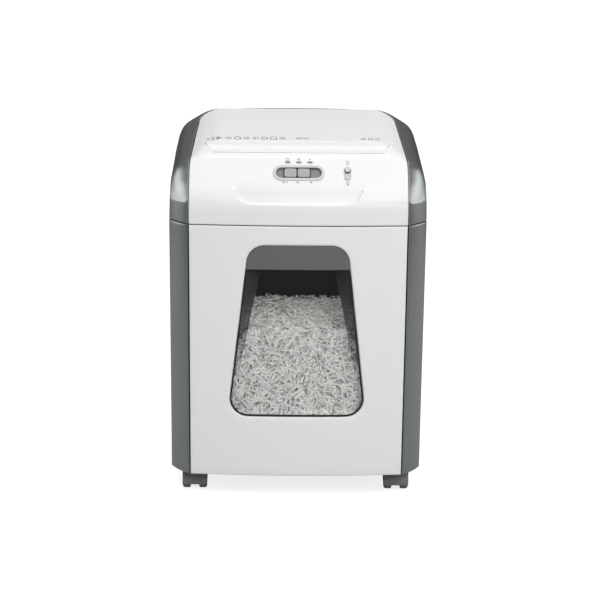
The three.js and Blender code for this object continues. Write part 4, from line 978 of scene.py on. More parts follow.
def make_grip():
    """Grey grip strip across the top of the window."""
    low = GRIP_LOW.z + 0.5
    high = GRIP_HIGH.z - 0.5
    radius = WINDOW_RADIUS - 0.85
    rows = 18
    points = []
    corner_z = high - radius * 0.92
    for i in range(rows + 1):
        t = i / rows
        z = low + (high - low) * (t if t < 0.3 else 0.3 + 0.7 * math.sin((t - 0.3) / 0.7 * math.pi / 2))
        half = window_half(z) - 0.85
        if z > corner_z:
            into = (z - corner_z) / (high - corner_z)
            half -= radius * 0.93 * (1 - math.sqrt(max(0.0, 1 - into * into)))
        for k in range(41):
            x = half * (k / 20 - 1)
            points.append(Vector((x, face_y(x) + 1.0, z)))
    bm = skin(points, grid_faces(rows + 1, 41))
    thicken(bm, 2.0, 0.5)
    obj = new_object("Window_Grip", bm, "bin", plain("grip_plastic"))
    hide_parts("window_grip")


def make_seal():
    """Black rubber seal round the sides and foot of the window."""
    outer = window_ring(-0.35)
    inner = window_ring(-2.6)
    top = corners("window_seal")[1].z
    keep = [i for i, p in enumerate(outer) if p.y < top]
    # The outline starts at the foot, so the seal's run up one side is moved in front of the rest
    gap = next(k for k in range(len(keep) - 1) if keep[k + 1] != keep[k] + 1)
    # The seal's section: share of the way from the outer to the inner edge, depth behind the face
    crown = [(0, 3.0), (0, 1.5), (0.12, 1.1), (0.35, 0.95), (0.65, 0.95), (0.88, 1.1), (1, 1.5), (1, 3.0)]
    rings = []
    for index in keep[gap + 1:] + keep[:gap + 1]:
        a, b = outer[index], inner[index]
        middle_y = face_y(a.lerp(b, 0.5).x)
        rings.append([(p.x, middle_y + depth, p.y) for share, depth in crown for p in [a.lerp(b, share)]])
    bm = outwards(loft(rings))
    obj = new_object("Window_Seal", bm, "bin", plain("seal_rubber"))
    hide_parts("window_seal")


def pane_share(z):
    """How far up the pane a height is, from 0 to 1."""
    return min(max((z - PANE_BASE) / (PANE_TOP - PANE_BASE), 0), 1)


def pane_y(x, z):
    """Inner face of the leaning pane."""
    share = pane_share(z)
    return (FRONT_Y + bow(x)) * (1 - share) + FRONT_Y * share + 8.4 + 22 * share


def make_pane():
    """Clear window: slanted side walls that run in to a leaning pane."""
    rim = [(p.x, face_y(p.x) + RIM_DEPTH, p.y) for p in window_ring(-RIM_INSET)]
    collar = [(p.x, face_y(p.x) + RIM_DEPTH, p.y) for p in window_ring(3.0)]
    shape = [
        (-PANE_BASE_HALF, PANE_BASE), (PANE_BASE_HALF, PANE_BASE),
        (PANE_TOP_HALF, PANE_TOP), (-PANE_TOP_HALF, PANE_TOP),
    ]
    pane = rounded_polygon(shape, 14)
    rings = [collar, rim]
    foot = [(p.x, pane_y(p.x, p.y), p.y) for p in pane]
    for share in (0.06, 0.35, 0.65, 0.92, 0.97):
        rings.append([tuple(Vector(a).lerp(Vector(b), share)) for a, b in zip(rim, foot)])
    middle = Vector((0, (PANE_BASE + PANE_TOP) / 2))
    for share in (0.015, 0.04, 0.3, 0.6, 0.9):
        ring = [p.lerp(Vector((p.x * 0.1, middle.y + (p.y - middle.y) * 0.1)), share) for p in pane]
        rings.append([(p.x, pane_y(p.x, p.y), p.y) for p in ring])
    bm = outwards(loft(rings, False, True))
    face_along_y(bm, -1)
    thicken(bm, 1.4, 0.3, 2)
    obj = new_object("Window_Pane", bm, "bin", plain("clear_styrene"), 60)
    # The slanted walls take the styrene with painted shade, darker towards the top
    obj.data.materials.append(styrene_painted_shade())
    for face in obj.data.polygons:
        if abs(face.normal.x) > 0.5:
            face.material_index = 1
    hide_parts("window_pane")


def tub_y(x, z):
    """Front limit of the shreds: the back of the pane and of its slanted walls."""
    face = face_y(x) + RIM_DEPTH
    share = pane_share(z)
    inner = PANE_BASE_HALF + (PANE_TOP_HALF - PANE_BASE_HALF) * share
    outer = window_half(z) - RIM_INSET
    deep = pane_y(x, z)
    beside = min(max((abs(x) - inner) / (outer - inner), 0), 1)
    below = min(max((PANE_BASE - z) / 4.6, 0), 1)
    return deep + (face - deep) * max(beside, below) + 1.6


def make_shreds():
    """Heap of paper strips: a lumpy core under several layers of curled, cut strips."""
    chance = random.Random(7)
    top = SHREDS_HIGH.z
    low = SHREDS_LOW.z
    left, right = SHREDS_LOW.x + 1, SHREDS_HIGH.x - 1
    rear = SHREDS_HIGH.y - 1
    limits = (left, right, rear, low, top)
    core = heap_core(*limits)
    points, faces = [], []
    count = sizes().strip_count
    for i in range(count):
        on_front = i % 5 < 3
        if on_front:
            z = chance.uniform(WINDOW_BASE - 4, top)
            x = chance.uniform(-1, 1) * (window_half(z) + 6)
            y = tub_y(x, z) + 1.0 + 5.5 * chance.random() ** 1.4
            normal = Vector((chance.gauss(0, 0.35), -1, chance.gauss(0.2, 0.35)))
        else:
            x = chance.uniform(left + 4, right - 4)
            y = chance.uniform(FRONT_Y + 12, rear - 4)
            z = top - 1.5 - 7 * chance.random() ** 1.3
            normal = Vector((chance.gauss(0, 0.35), chance.gauss(-0.1, 0.35), 1))
        add_strip(points, faces, Vector((x, y, z)), normal.normalized(), chance, limits)
    bm = skin_raw(points, faces)
    merge(bm, core)
    obj = new_object("Paper_Shreds", bm, "bin", cut_paper(), 50)
    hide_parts("paper_shreds")


def skin_raw(points, faces):
    """A bmesh of separate strips, whose vertices stay as they are."""
    bm = bmesh.new()
    made = [bm.verts.new(p) for p in points]
    for face in faces:
        bm.faces.new([made[i] for i in face])
    return bm


def heap_core(left, right, rear, low, top):
    """Closed lumpy block that fills the heap behind its loose strips."""
    columns, steps = 60, 34
    rings = []
    for c in range(columns + 1):
        x = left + (right - left) * c / columns
        ring = []
        for s in range(steps + 1):
            z = low + (top - 6 - low) * s / steps
            ring.append((x, tub_y(x, z) + 5.5, z))
        for s in range(1, steps + 1):
            y = tub_y(x, top - 6) + 5.5
            ring.append((x, y + (rear - y) * s / steps, top - 6))
        ring.append((x, rear, low))
        rings.append([
            tuple(Vector(p) + Vector((0, 1, -1)) * 2.2 * noise.noise(Vector(p) * 0.09)) for p in ring
        ])
    return outwards(loft(rings))


def add_strip(points, faces, place, normal, chance, limits):
    """One curled strip of paper that stays behind the pane and inside the bucket."""
    left, right, rear, low, top = limits
    width = sizes().strip_width / MM * chance.uniform(0.6, 1.05)
    length = sizes().strip_length / MM * chance.uniform(0.3, 1.0)
    thickness = 0.12
    any_way = Vector((chance.gauss(0, 1), chance.gauss(0, 1), chance.gauss(0, 1)))
    along = (any_way - normal * any_way.dot(normal)).normalized()
    roll = chance.gauss(0, 0.7)
    up = (Matrix.Rotation(roll, 3, along) @ normal).normalized()
    across = along.cross(up).normalized()
    curl = chance.choice((-1, 1)) * chance.uniform(0.005, 0.075)
    wave = chance.uniform(-0.5, 0.5)
    segments = 6
    step = length / segments
    angle = -curl * length / 2
    here = place - along * length / 2
    start = len(points)
    for i in range(segments + 1):
        direction = along * math.cos(angle) + up * math.sin(angle)
        face_normal = up * math.cos(angle) - along * math.sin(angle)
        lean = across * math.cos(wave * i / segments) + face_normal * math.sin(wave * i / segments)
        for side, level in ((-1, 0), (1, 0), (1, 1), (-1, 1)):
            point = here + lean * side * width / 2 + face_normal * level * thickness
            point.x = min(max(point.x, left), right)
            point.z = min(max(point.z, low), top + 1.5)
            point.y = min(max(point.y, tub_y(point.x, point.z) + 0.5 + 0.12 * level), rear)
            points.append(point)
        here = here + direction * step
        angle += curl * step
    for i in range(segments):
        a = start + 4 * i
        for k in range(4):
            n = (k + 1) % 4
            faces.append((a + k, a + n, a + 4 + n, a + 4 + k))
    faces.append((start + 3, start + 2, start + 1, start))
    end = start + 4 * segments
    faces.append((end, end + 1, end + 2, end + 3))


# ---------------------------------------------------------------- controls


def pad(width, height, z, x, radius=3.0):
    """Rounded rectangle at a height above the control panel."""
    shape = [
        (x - width / 2, -height / 2), (x + width / 2, -height / 2),
        (x + width / 2, height / 2), (x - width / 2, height / 2),
    ]
    return [(p.x, p.y, z) for p in rounded_polygon(shape, radius, 6, 2)]


def make_switch():
    """Mode switch: rim plate, sunk well, and a slider with two thumb pads."""
    rim = [stadium(*row) for row in (
        (69.4, 23.4, 0.0), (69.4, 23.4, 0.9), (68.9, 22.9, 1.3), (68.0, 22.0, 1.5), (63.0, 17.0, 1.5),
        (62.0, 16.0, 1.3), (61.5, 15.5, 0.8), (61.4, 15.4, 0.0),
    )]
    rim.append(rim[0])
    bezel = outwards(loft(rim, False, False, PANEL))
    obj = new_object("Switch_Rim", bezel, "machine", plain("pale_plastic"), 50)
    well_rows = (
        (61.3, 15.3, 0.2), (61.3, 15.3, -4.0), (26, 4.4, -4.0), (26, 4.4, -5.4), (63.8, 17.8, -5.4),
        (63.8, 17.8, -0.1), (62.2, 16.2, 0.2),
    )
    well = loft([stadium(*row) for row in well_rows], False, False, PANEL)
    close_tube(well)
    outwards(well)
    new_object("Switch_Well", well, "machine", plain("well_plastic"))
    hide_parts("mode_switch_bezel")
    x = slider_x()
    carrier_rows = ((36.0, 14.4, -3.6), (36.0, 14.4, -1.3), (35.8, 13.8, -1.0), (34.8, 12.8, -0.95))
    carrier = loft([pad(*row, x) for row in carrier_rows], matrix=PANEL)
    merge(carrier, loft([stadium(6, 3, -6.5, x), stadium(6, 3, -3.5, x)], matrix=PANEL))
    new_object("Slider_Carrier", carrier, "slider", plain("black_plastic"))
    pads = []
    for side in (-1, 1):
        px = x + side * 8.9
        rings = [pad(*row, px) for row in (
            (16.4, 12.8, -0.9), (16.4, 12.8, 0.5), (16.0, 12.4, 1.0), (14.8, 11.2, 1.3), (13.2, 9.6, 1.1),
        )]
        pads.append(loft(rings + [pad(8, 5, 0.8, px, 2.4)], matrix=PANEL))
        for end in (-1, 0, 1):
            rib = ((0.9, 5.2, 0.6), (0.9, 5.2, 1.15), (0.4, 4.7, 1.3))
            pads.append(loft([stadium(*row, px + end * 3.2) for row in rib], matrix=PANEL))
    slider = new_object("Mode_Slider", merge(*pads), "slider", plain("switch_plastic"))
    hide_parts("mode_switch")


def close_tube(bm):
    """Joins the first and last rings of an open loft."""
    edges = [e for e in bm.edges if e.is_boundary]
    bmesh.ops.bridge_loops(bm, edges=edges)


def slider_x():
    """Where the mode switch stands along its travel."""
    low, high = corners("mode_switch")
    return (low.x + high.x) / 2


def make_lock():
    """Safety lock: a slim plate with a shallow track, and a round knob over a black collar that paints the
    shade round the knob.
    """
    x = LOCK_X
    rim = [
        (9.4, 20, -0.3), (9.4, 20, 0.9), (9.0, 19.6, 1.4), (8.4, 19, 1.65), (6.4, 17, 1.65), (6.0, 16.6, 1.4),
        (5.8, 16.4, 0.9),
    ]
    bezel = outwards(loft([stadium(*row, x) for row in rim], matrix=PANEL))
    obj = new_object("Lock_Rim", bezel, "machine", plain("pale_plastic"), 50)
    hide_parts("lock_bezel")
    low, high = corners("lock_knob")
    y = (PANEL.inverted() @ ((low + high) / 2)).y
    place = PANEL @ Matrix.Translation((x, y, 0))
    # The collar is a black disc a little wider than the knob: painted shade that makes the dark ring round
    # the knob
    profile = [(0, 1.2), (2.4, 1.2), (2.4, 1.9), (4.3, 1.9), (4.4, 2.3), (4.2, 2.6), (0, 2.6)]
    collar = lathe(profile, 40, place)
    new_object("Lock_Painted_Shade_Ring", collar, "lock", plain("black_plastic"))
    profile = [
        (0, 2.7), (3.3, 2.7), (3.5, 2.9), (3.5, 4.6), (3.3, 5.1), (2.8, 5.3), (2.0, 5.2), (1.0, 4.9),
        (0, 4.9),
    ]
    turned = lathe(profile, 40, place)
    knob = new_object("Lock_Knob", turned, "lock", plain("pale_plastic"))
    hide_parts("lock_knob")


def make_lamps():
    """Three light pipes over the switch."""
    for name, step in (("left", -1), ("middle", 0), ("right", 1)):
        rows = ((7, 2.4, -7.8), (7, 2.4, 0.3), (6.7, 2.1, 0.6), (6.0, 1.4, 0.75))
        rings = [stadium(*row, step * LAMP_SPACING, LAMP_RISE) for row in rows]
        lens = loft(rings, matrix=PANEL)
        obj = new_object("Lamp_" + name, lens, "machine", plain("light_pipe"))
        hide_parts("indicator_" + name)


# ---------------------------------------------------------------- printed marks


def surface_frame(x, z):
    """A frame that lies on the white front at a height: X to the right, Y up the slope, Z outwards."""
    rows = [(p[1], p[0]) for p in front_rows(0.0)]

    def point(px, pz):
        return front_point(px, interpolate(rows, pz), pz)

    here = point(x, z)
    right = (point(x + 1, z) - point(x - 1, z)).normalized()
    up = (point(x, z + 1) - point(x, z - 1)).normalized()
    out = right.cross(up).normalized()
    return Matrix((
        (right.x, up.x, out.x, here.x), (right.y, up.y, out.y, here.y),
        (right.z, up.z, out.z, here.z), (0, 0, 0, 1),
    ))


def top_frame(x, y):
    """A frame that lies on the top, behind the throat."""
    height = interpolate([(THROAT_REAR_Y, CREASE_Z + THROAT_REAR[1]), (COVER_REAR_Y, TOP_Z)], y)
    here = Vector((x, y, soft_min(height, shoulder_height(x, y), 2)))
    turn = Matrix.Rotation(math.atan(TOP_SLOPE), 4, "X")
    lean = math.atan((shoulder_height(x + 2, y) - shoulder_height(x - 2, y)) / 4) if abs(x) > 112 else 0.0
    return Matrix.Translation(here) @ turn @ Matrix.Rotation(-lean, 4, "Y")


def mark_parts(kind, size):
    """Plain shapes of one printed mark, each a closed bmesh on the local XY plane."""
    low, high = -0.25, 0.12
    parts = []
    if kind == "ring":
        outer, inner = size, size * 0.68
        rings = [stadium(outer, outer, low), stadium(outer, outer, high), stadium(inner, inner, high),
                 stadium(inner, inner, low)]
        rings.append(rings[0])
        parts.append(outwards(loft(rings, False, False)))
    elif kind == "bars":
        for step in (-1, 0, 1):
            parts.append(block(step * size * 0.3, 0, size * 0.13, size * (0.8 - 0.2 * abs(step)), low, high))
    elif kind == "lines":
        for step in (-1, 0, 1):
            parts.append(block(0, step * size * 0.28, size * (1 - 0.25 * abs(step)), size * 0.12, low, high))
    elif kind == "dot":
        parts.append(loft([stadium(size * 0.5, size * 0.5, low), stadium(size * 0.5, size * 0.5, high)]))
    elif kind == "arrow":
        reach = size * 0.45
        head = [(-reach, -reach), (reach, 0), (-reach, reach)]
        parts.append(loft([[(a, b, level) for a, b in head] for level in (low, high)]))
    elif kind == "frame":
        half = size / 2
        bar = size * 0.13
        parts.append(block(0, half - bar / 2, size, bar, low, high))
        parts.append(block(0, bar / 2 - half, size, bar, low, high))
        parts.append(block(half - bar / 2, 0, bar, size - 2.2 * bar, low, high))
        parts.append(block(bar / 2 - half, 0, bar, size - 2.2 * bar, low, high))
    return parts


def block(x, y, width, height, low, high):
    """A flat bar of a mark round a centre."""
    a, b = width / 2, height / 2
    base = [(x - a, y - b), (x + a, y - b), (x + a, y + b), (x - a, y + b)]
    return loft([[(p, q, level) for p, q in base] for level in (low, high)])


def make_marks():
    """Plain pad-printed marks round the switches and along the top."""
    placed = []
    for x, kind in ((-20, "arrow"), (-16.2, "bars"), (-1.4, "ring"), (17, "arrow")):
        placed.append((kind, 3.4, surface_frame(x, CREASE_Z + 27.8)))
    for x, kind in ((-LAMP_SPACING, "frame"), (0, "lines"), (LAMP_SPACING, "dot")):
        placed.append((kind, 4.0, PANEL @ Matrix.Translation((x, 20.4, 0))))
    for z in (462.7, 437.7):
        placed.append(("ring", 4.2, surface_frame(LOCK_X, z)))
        placed.append(("lines", 3.2, surface_frame(LOCK_X, z - 2.2)))
    kinds = ["frame", "arrow", "bars", "ring", "lines", "bars", "ring", "frame", "lines"]
    stretch = Matrix.Diagonal((1, 1.6, 1, 1))
    for i, kind in enumerate(kinds):
        placed.append((kind, 9.5, top_frame(-120 + i * 12.3, -40) @ stretch))
    for x, kind in ((-1, "dot"), (4, "bars"), (11, "bars"), (89, "lines"), (99, "ring"), (108, "bars")):
        placed.append((kind, 7.5, top_frame(x, -40) @ stretch))
    parts = []
    for kind, size, place in placed:
        for bm in mark_parts(kind, size):
            bm.transform(place)
            parts.append(bm)
    new_object("Printed_Marks", merge(*parts), "machine", plain("printed_ink"), None)


# ---------------------------------------------------------------- casters


def make_caster(suffix):
    """Twin wheels of one caster, turned with a rounded tread, a dished side and a hub."""
    low, high = corners("caster_wheels_" + suffix)
    centre = (low + high) / 2
    half = (high.x - low.x) / 2
    inner = half - WHEEL_WIDTH
    profile = [
        (0, half - 1.2), (2.6, half - 1.2), (3.2, half - 0.6), (4.6, half - 0.6), (5.2, half - 1.6),
        (8.6, half - 2.2), (9.4, half - 0.6), (10.4, half - 0.1), (11.6, half - 0.3), (12.8, half - 1.2),
        (13.35, half - 2.4),
        (WHEEL_RADIUS, half - 3.6), (WHEEL_RADIUS, inner + 2.2), (13.2, inner + 1.2), (12.2, inner + 0.5),
        (10.5, inner + 0.3), (2.3, inner + 0.3),
    ]
    mirrored = [(r, -h) for r, h in reversed(profile)]
    turn = Matrix.Translation(centre) @ Matrix.Rotation(math.pi / 2, 4, "Y")
    bm = outwards(lathe(profile + mirrored, 56, turn))
    name = "Wheels_" + suffix
    obj = new_object(name, bm, "wheels_" + suffix, plain("caster_nylon"), 40)
    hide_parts("caster_wheels_" + suffix)


# ---------------------------------------------------------------- materials


def linear(hex_colour):
    """sRGB hex to a linear colour with alpha."""
    parts = [int(hex_colour[i:i + 2], 16) / 255 for i in (1, 3, 5)]
    return [c / 12.92 if c <= 0.04045 else ((c + 0.055) / 1.055) ** 2.4 for c in parts] + [1.0]


def add_node(tree, kind, settings=None, links=None, **attributes):
    """Adds a node with its socket values, its links from other nodes' sockets, and its attributes."""
    node = tree.nodes.new(kind)
    for key, value in attributes.items():
        setattr(node, key, value)
    for key, value in (settings or {}).items():
        node.inputs[key].default_value = value
    for key, source in (links or {}).items():
        tree.links.new(source, node.inputs[key])
    return node


def start_material(name):
    """A material with a bare Principled shader, or the one already made under that name."""
    material = bpy.data.materials.get(name)
    if material:
        return material, None, None
    material = bpy.data.materials.new(name)
    material.use_nodes = True
    tree = material.node_tree
    return material, tree, tree.nodes["Principled BSDF"]


def set_values(shader, **values):
    """Sets uniform values on a shader's sockets, named with underscores."""
    for key, value in values.items():
        shader.inputs[key.replace("_", " ")].default_value = value


def grain_bump(tree, shader, grain_mm, height_mm, strength=1.0):
    """Fine moulded grain of a size as a bump."""
    place = add_node(tree, "ShaderNodeTexCoord")
    grain = add_node(
        tree, "ShaderNodeTexNoise", {"Scale": 1 / (grain_mm * MM), "Detail": 2.0},
        {"Vector": place.outputs["Object"]},
    )
    bump = add_node(
        tree, "ShaderNodeBump", {"Strength": strength, "Distance": height_mm * MM},
        {"Height": grain.outputs["Fac"]},
    )
    tree.links.new(bump.outputs["Normal"], shader.inputs["Normal"])
    return grain


def varied_roughness(tree, shader, grain, low, high):
    """Lets the roughness follow the grain between two values."""
    spread = add_node(
        tree, "ShaderNodeMapRange", {"To Min": low, "To Max": high}, {"Value": grain.outputs["Fac"]},
    )
    tree.links.new(spread.outputs["Result"], shader.inputs["Roughness"])


# Plain materials, by the name used below. Each row holds the material's own name, its colour as a setting
# or as hex, the values of its sockets, the grain as (size mm, height mm, strength), and the range over
# which the roughness follows the grain. The comment over a row says what the eye gets from it.
PLAIN_MATERIALS = {
    # Soft wide highlights and a clean bright face
    "white_abs": (
        "Moulded white ABS satin", "white", {"Roughness": 0.42, "IOR": 1.53}, (0.9, 0.012, 0.5), (0.38, 0.48),
    ),
    # Stands off the white: the rims of the switch and the lock, and the lock's knob
    "pale_plastic": ("Moulded pale grey ABS", "#d3d4d4", {"Roughness": 0.4, "IOR": 1.53}, None, None),
    # Dark where it mirrors the room, bright towards the lamps
    "silver_paint": (
        "Silver-grey flake paint on ABS", "silver",
        {"Metallic": 0.85, "Roughness": 0.28, "Coat_Weight": 0.25, "Coat_Roughness": 0.2},
        (0.7, 0.008, 0.4), (0.27, 0.35),
    ),
    # Quiet, with only a faint sheen
    "dark_abs": (
        "Moulded charcoal ABS matt", "dark", {"Roughness": 0.6, "IOR": 1.53}, (0.8, 0.02, 0.6), None,
    ),
    # Painted shade: the bucket is made near black, which keeps the hollow of the bin dark
    "bucket_painted_shade": (
        "Moulded polypropylene with painted shade", "#1b1b1c", {"Roughness": 0.55, "IOR": 1.49}, (1.2, 0.02, 0.5), None,
    ),
    # An even dark band with a fine texture
    "grip_plastic": (
        "Moulded mid grey ABS textured", "grip", {"Roughness": 0.5, "IOR": 1.53}, (0.6, 0.02, 0.5), None,
    ),
    # A flat dark outline
    "seal_rubber": ("Extruded black EPDM rubber", "#111112", {"Roughness": 0.6, "IOR": 1.5}, None, None),
    # The contents show, slightly dimmed, under a thin gloss
    "clear_styrene": (
        "Moulded clear styrene", "#3c3e40", {"Roughness": 0.06, "IOR": 1.59, "Alpha": 0.06}, None, None,
    ),
    # The sliders read as pale keys in a darker well
    "switch_plastic": (
        "Moulded light grey ABS satin", "switch", {"Roughness": 0.38, "IOR": 1.53}, None, None,
    ),
    # A plain mid grey floor under the sliders
    "well_plastic": ("Moulded mid grey ABS plain", "#8d8e8f", {"Roughness": 0.5, "IOR": 1.53}, None, None),
    # Small grey frosted lenses while the lamps are off
    "light_pipe": ("Frosted acrylic light pipe", "#8c8f90", {"Roughness": 0.3, "IOR": 1.49}, None, None),
    # Flat small marks
    "printed_ink": ("Pad-printed grey ink", "#8a8b8d", {"Roughness": 0.6, "IOR": 1.5}, None, None),
    # Satin treads and forks
    "caster_nylon": (
        "Moulded dark grey nylon", "caster", {"Roughness": 0.42, "IOR": 1.53}, (0.7, 0.02, 0.5), None,
    ),
    # Small dark fittings: inner pieces and the slider's carrier; also the lock's collar, painted shade round
    # the knob
    "black_plastic": ("Moulded black ABS", "#18181a", {"Roughness": 0.5, "IOR": 1.53}, None, None),
    # Bright, slightly cloudy metal
    "zinc_steel": (
        "Zinc-plated steel sheet", "#c3c6c8", {"Metallic": 1.0, "Roughness": 0.36}, (3.0, 0.01, 0.4), None,
    ),
    # Darker metal with a tight gloss
    "cutter_steel": (
        "Ground carbon steel", "#a2a4a6", {"Metallic": 1.0, "Roughness": 0.3}, (0.6, 0.006, 0.5), None,
    ),
    # Creamy white gears
    "gear_nylon": ("Moulded natural acetal", "#e4dfd0", {"Roughness": 0.4, "IOR": 1.48}, None, None),
    # Satin green board
    "circuit_laminate": (
        "Green resist on glass-epoxy board", "#2f6b3c", {"Roughness": 0.4, "IOR": 1.55}, None, None,
    ),
}


def plain(key):
    """A material of the table above, made when it is first asked for."""
    name, colour, values, grain, roughness = PLAIN_MATERIALS[key]
    material, tree, shader = start_material(name)
    if tree:
        hex_colour = colour if colour.startswith("#") else getattr(colours(), colour)
        set_values(shader, Base_Color=linear(hex_colour), **values)
        if grain:
            texture = grain_bump(tree, shader, *grain)
            if roughness:
                varied_roughness(tree, shader, texture, *roughness)
    return material


def styrene_painted_shade():
    """The same clear styrene on its slanted walls, with painted shade: dark grey and nearly opaque at the
    top, clearing towards the foot.
    """
    material, tree, shader = start_material("Moulded clear styrene with painted shade")
    if tree:
        set_values(shader, Base_Color=linear("#3a3b3d"), Roughness=0.3, IOR=1.59)
        place = add_node(tree, "ShaderNodeTexCoord")
        parts = add_node(tree, "ShaderNodeSeparateXYZ", None, {"Vector": place.outputs["Object"]})
        # Painted shade: the walls grow darker and less clear with height
        painted_shade = add_node(
            tree, "ShaderNodeMapRange",
            {"From Min": 170 * MM, "From Max": 300 * MM, "To Min": 0.12, "To Max": 0.94},
            {"Value": parts.outputs["Z"]},
        )
        tree.links.new(painted_shade.outputs["Result"], shader.inputs["Alpha"])
    return material


def cut_paper():
    """Uncoated copy paper, cut: matt white with slight differences from strip to strip."""
    material, tree, shader = start_material("Cut uncoated copy paper")
    if tree:
        set_values(shader, Base_Color=linear(colours().paper), Roughness=0.9, IOR=1.45)
        place = add_node(tree, "ShaderNodeTexCoord")
        spread = add_node(
            tree, "ShaderNodeTexNoise", {"Scale": 1 / (9 * MM), "Detail": 1.0},
            {"Vector": place.outputs["Object"]},
        )
        tone = add_node(tree, "ShaderNodeValToRGB", None, {"Fac": spread.outputs["Fac"]})
        tone.color_ramp.elements[0].position = 0.3
        tone.color_ramp.elements[0].color = linear("#d6d6d4")
        tone.color_ramp.elements[1].position = 0.55
        tone.color_ramp.elements[1].color = linear(colours().paper)
        tree.links.new(tone.outputs["Color"], shader.inputs["Base Color"])
    return material


# The plain material of each of the record's slots; loose paper has its own
SLOT_MATERIALS = {
    "white_shell": "white_abs", "silver_shell": "silver_paint", "dark_shell": "dark_abs",
    "black_plastic": "black_plastic", "switch_grey": "switch_plastic", "grip_grey": "grip_plastic",
    "light_pipe": "light_pipe", "zinc_steel": "zinc_steel", "cutter_steel": "cutter_steel",
    "gear_nylon": "gear_nylon", "circuit_laminate": "circuit_laminate", "bucket_grey": "bucket_painted_shade",
    "clear_window": "clear_styrene", "caster_grey": "caster_nylon",
}


def finish_cad_nodes():
    """Softens the edges of the CAD pieces that stay and gives them their materials."""
    for name, obj in frame["nodes"].items():
        slot = node_slot(name)
        obj.data.materials.clear()
        obj.data.materials.append(cut_paper() if slot == "paper" else plain(SLOT_MATERIALS[slot]))
        for polygon in obj.data.polygons:
            polygon.use_smooth = True
        weld = obj.modifiers.new("Weld", "WELD")
        weld.merge_threshold = 0.01 * MM
        bevel = obj.modifiers.new("Soft Edges", "BEVEL")
        bevel.width = (0.12 if "gear" in name or "cutter" in name else 0.35) * MM
        bevel.segments = 2
        bevel.limit_method = "ANGLE"
        bevel.angle_limit = math.radians(40)
        split = obj.modifiers.new("Crisp Edges", "EDGE_SPLIT")
        split.split_angle = math.radians(40)


def node_slot(name):
    """The record's material slot of a CAD node."""
    return next(part["material_slot"] for part in frame["record"]["subparts"] if part["node"] == name)


# ---------------------------------------------------------------- stage


def area_light(name, place, target, width, height, power):
    """A rectangular white lamp that looks at a target."""
    light = bpy.data.lights.new(name, "AREA")
    light.shape = "RECTANGLE"
    light.size = width
    light.size_y = height
    light.energy = power
    obj = bpy.data.objects.new(name, light)
    obj.location = place
    obj.rotation_euler = (Vector(target) - Vector(place)).to_track_quat("-Z", "Y").to_euler()
    bpy.context.scene.collection.objects.link(obj)


# The camera in metres, its downward, sideways and rolling angles in degrees, and its lens in millimetres
CAMERA_PLACE = (-0.0372, -2.72415, 0.869308)
CAMERA_ANGLES = (12.795, 0.89, 0.607)
CAMERA_LENS = 118.486


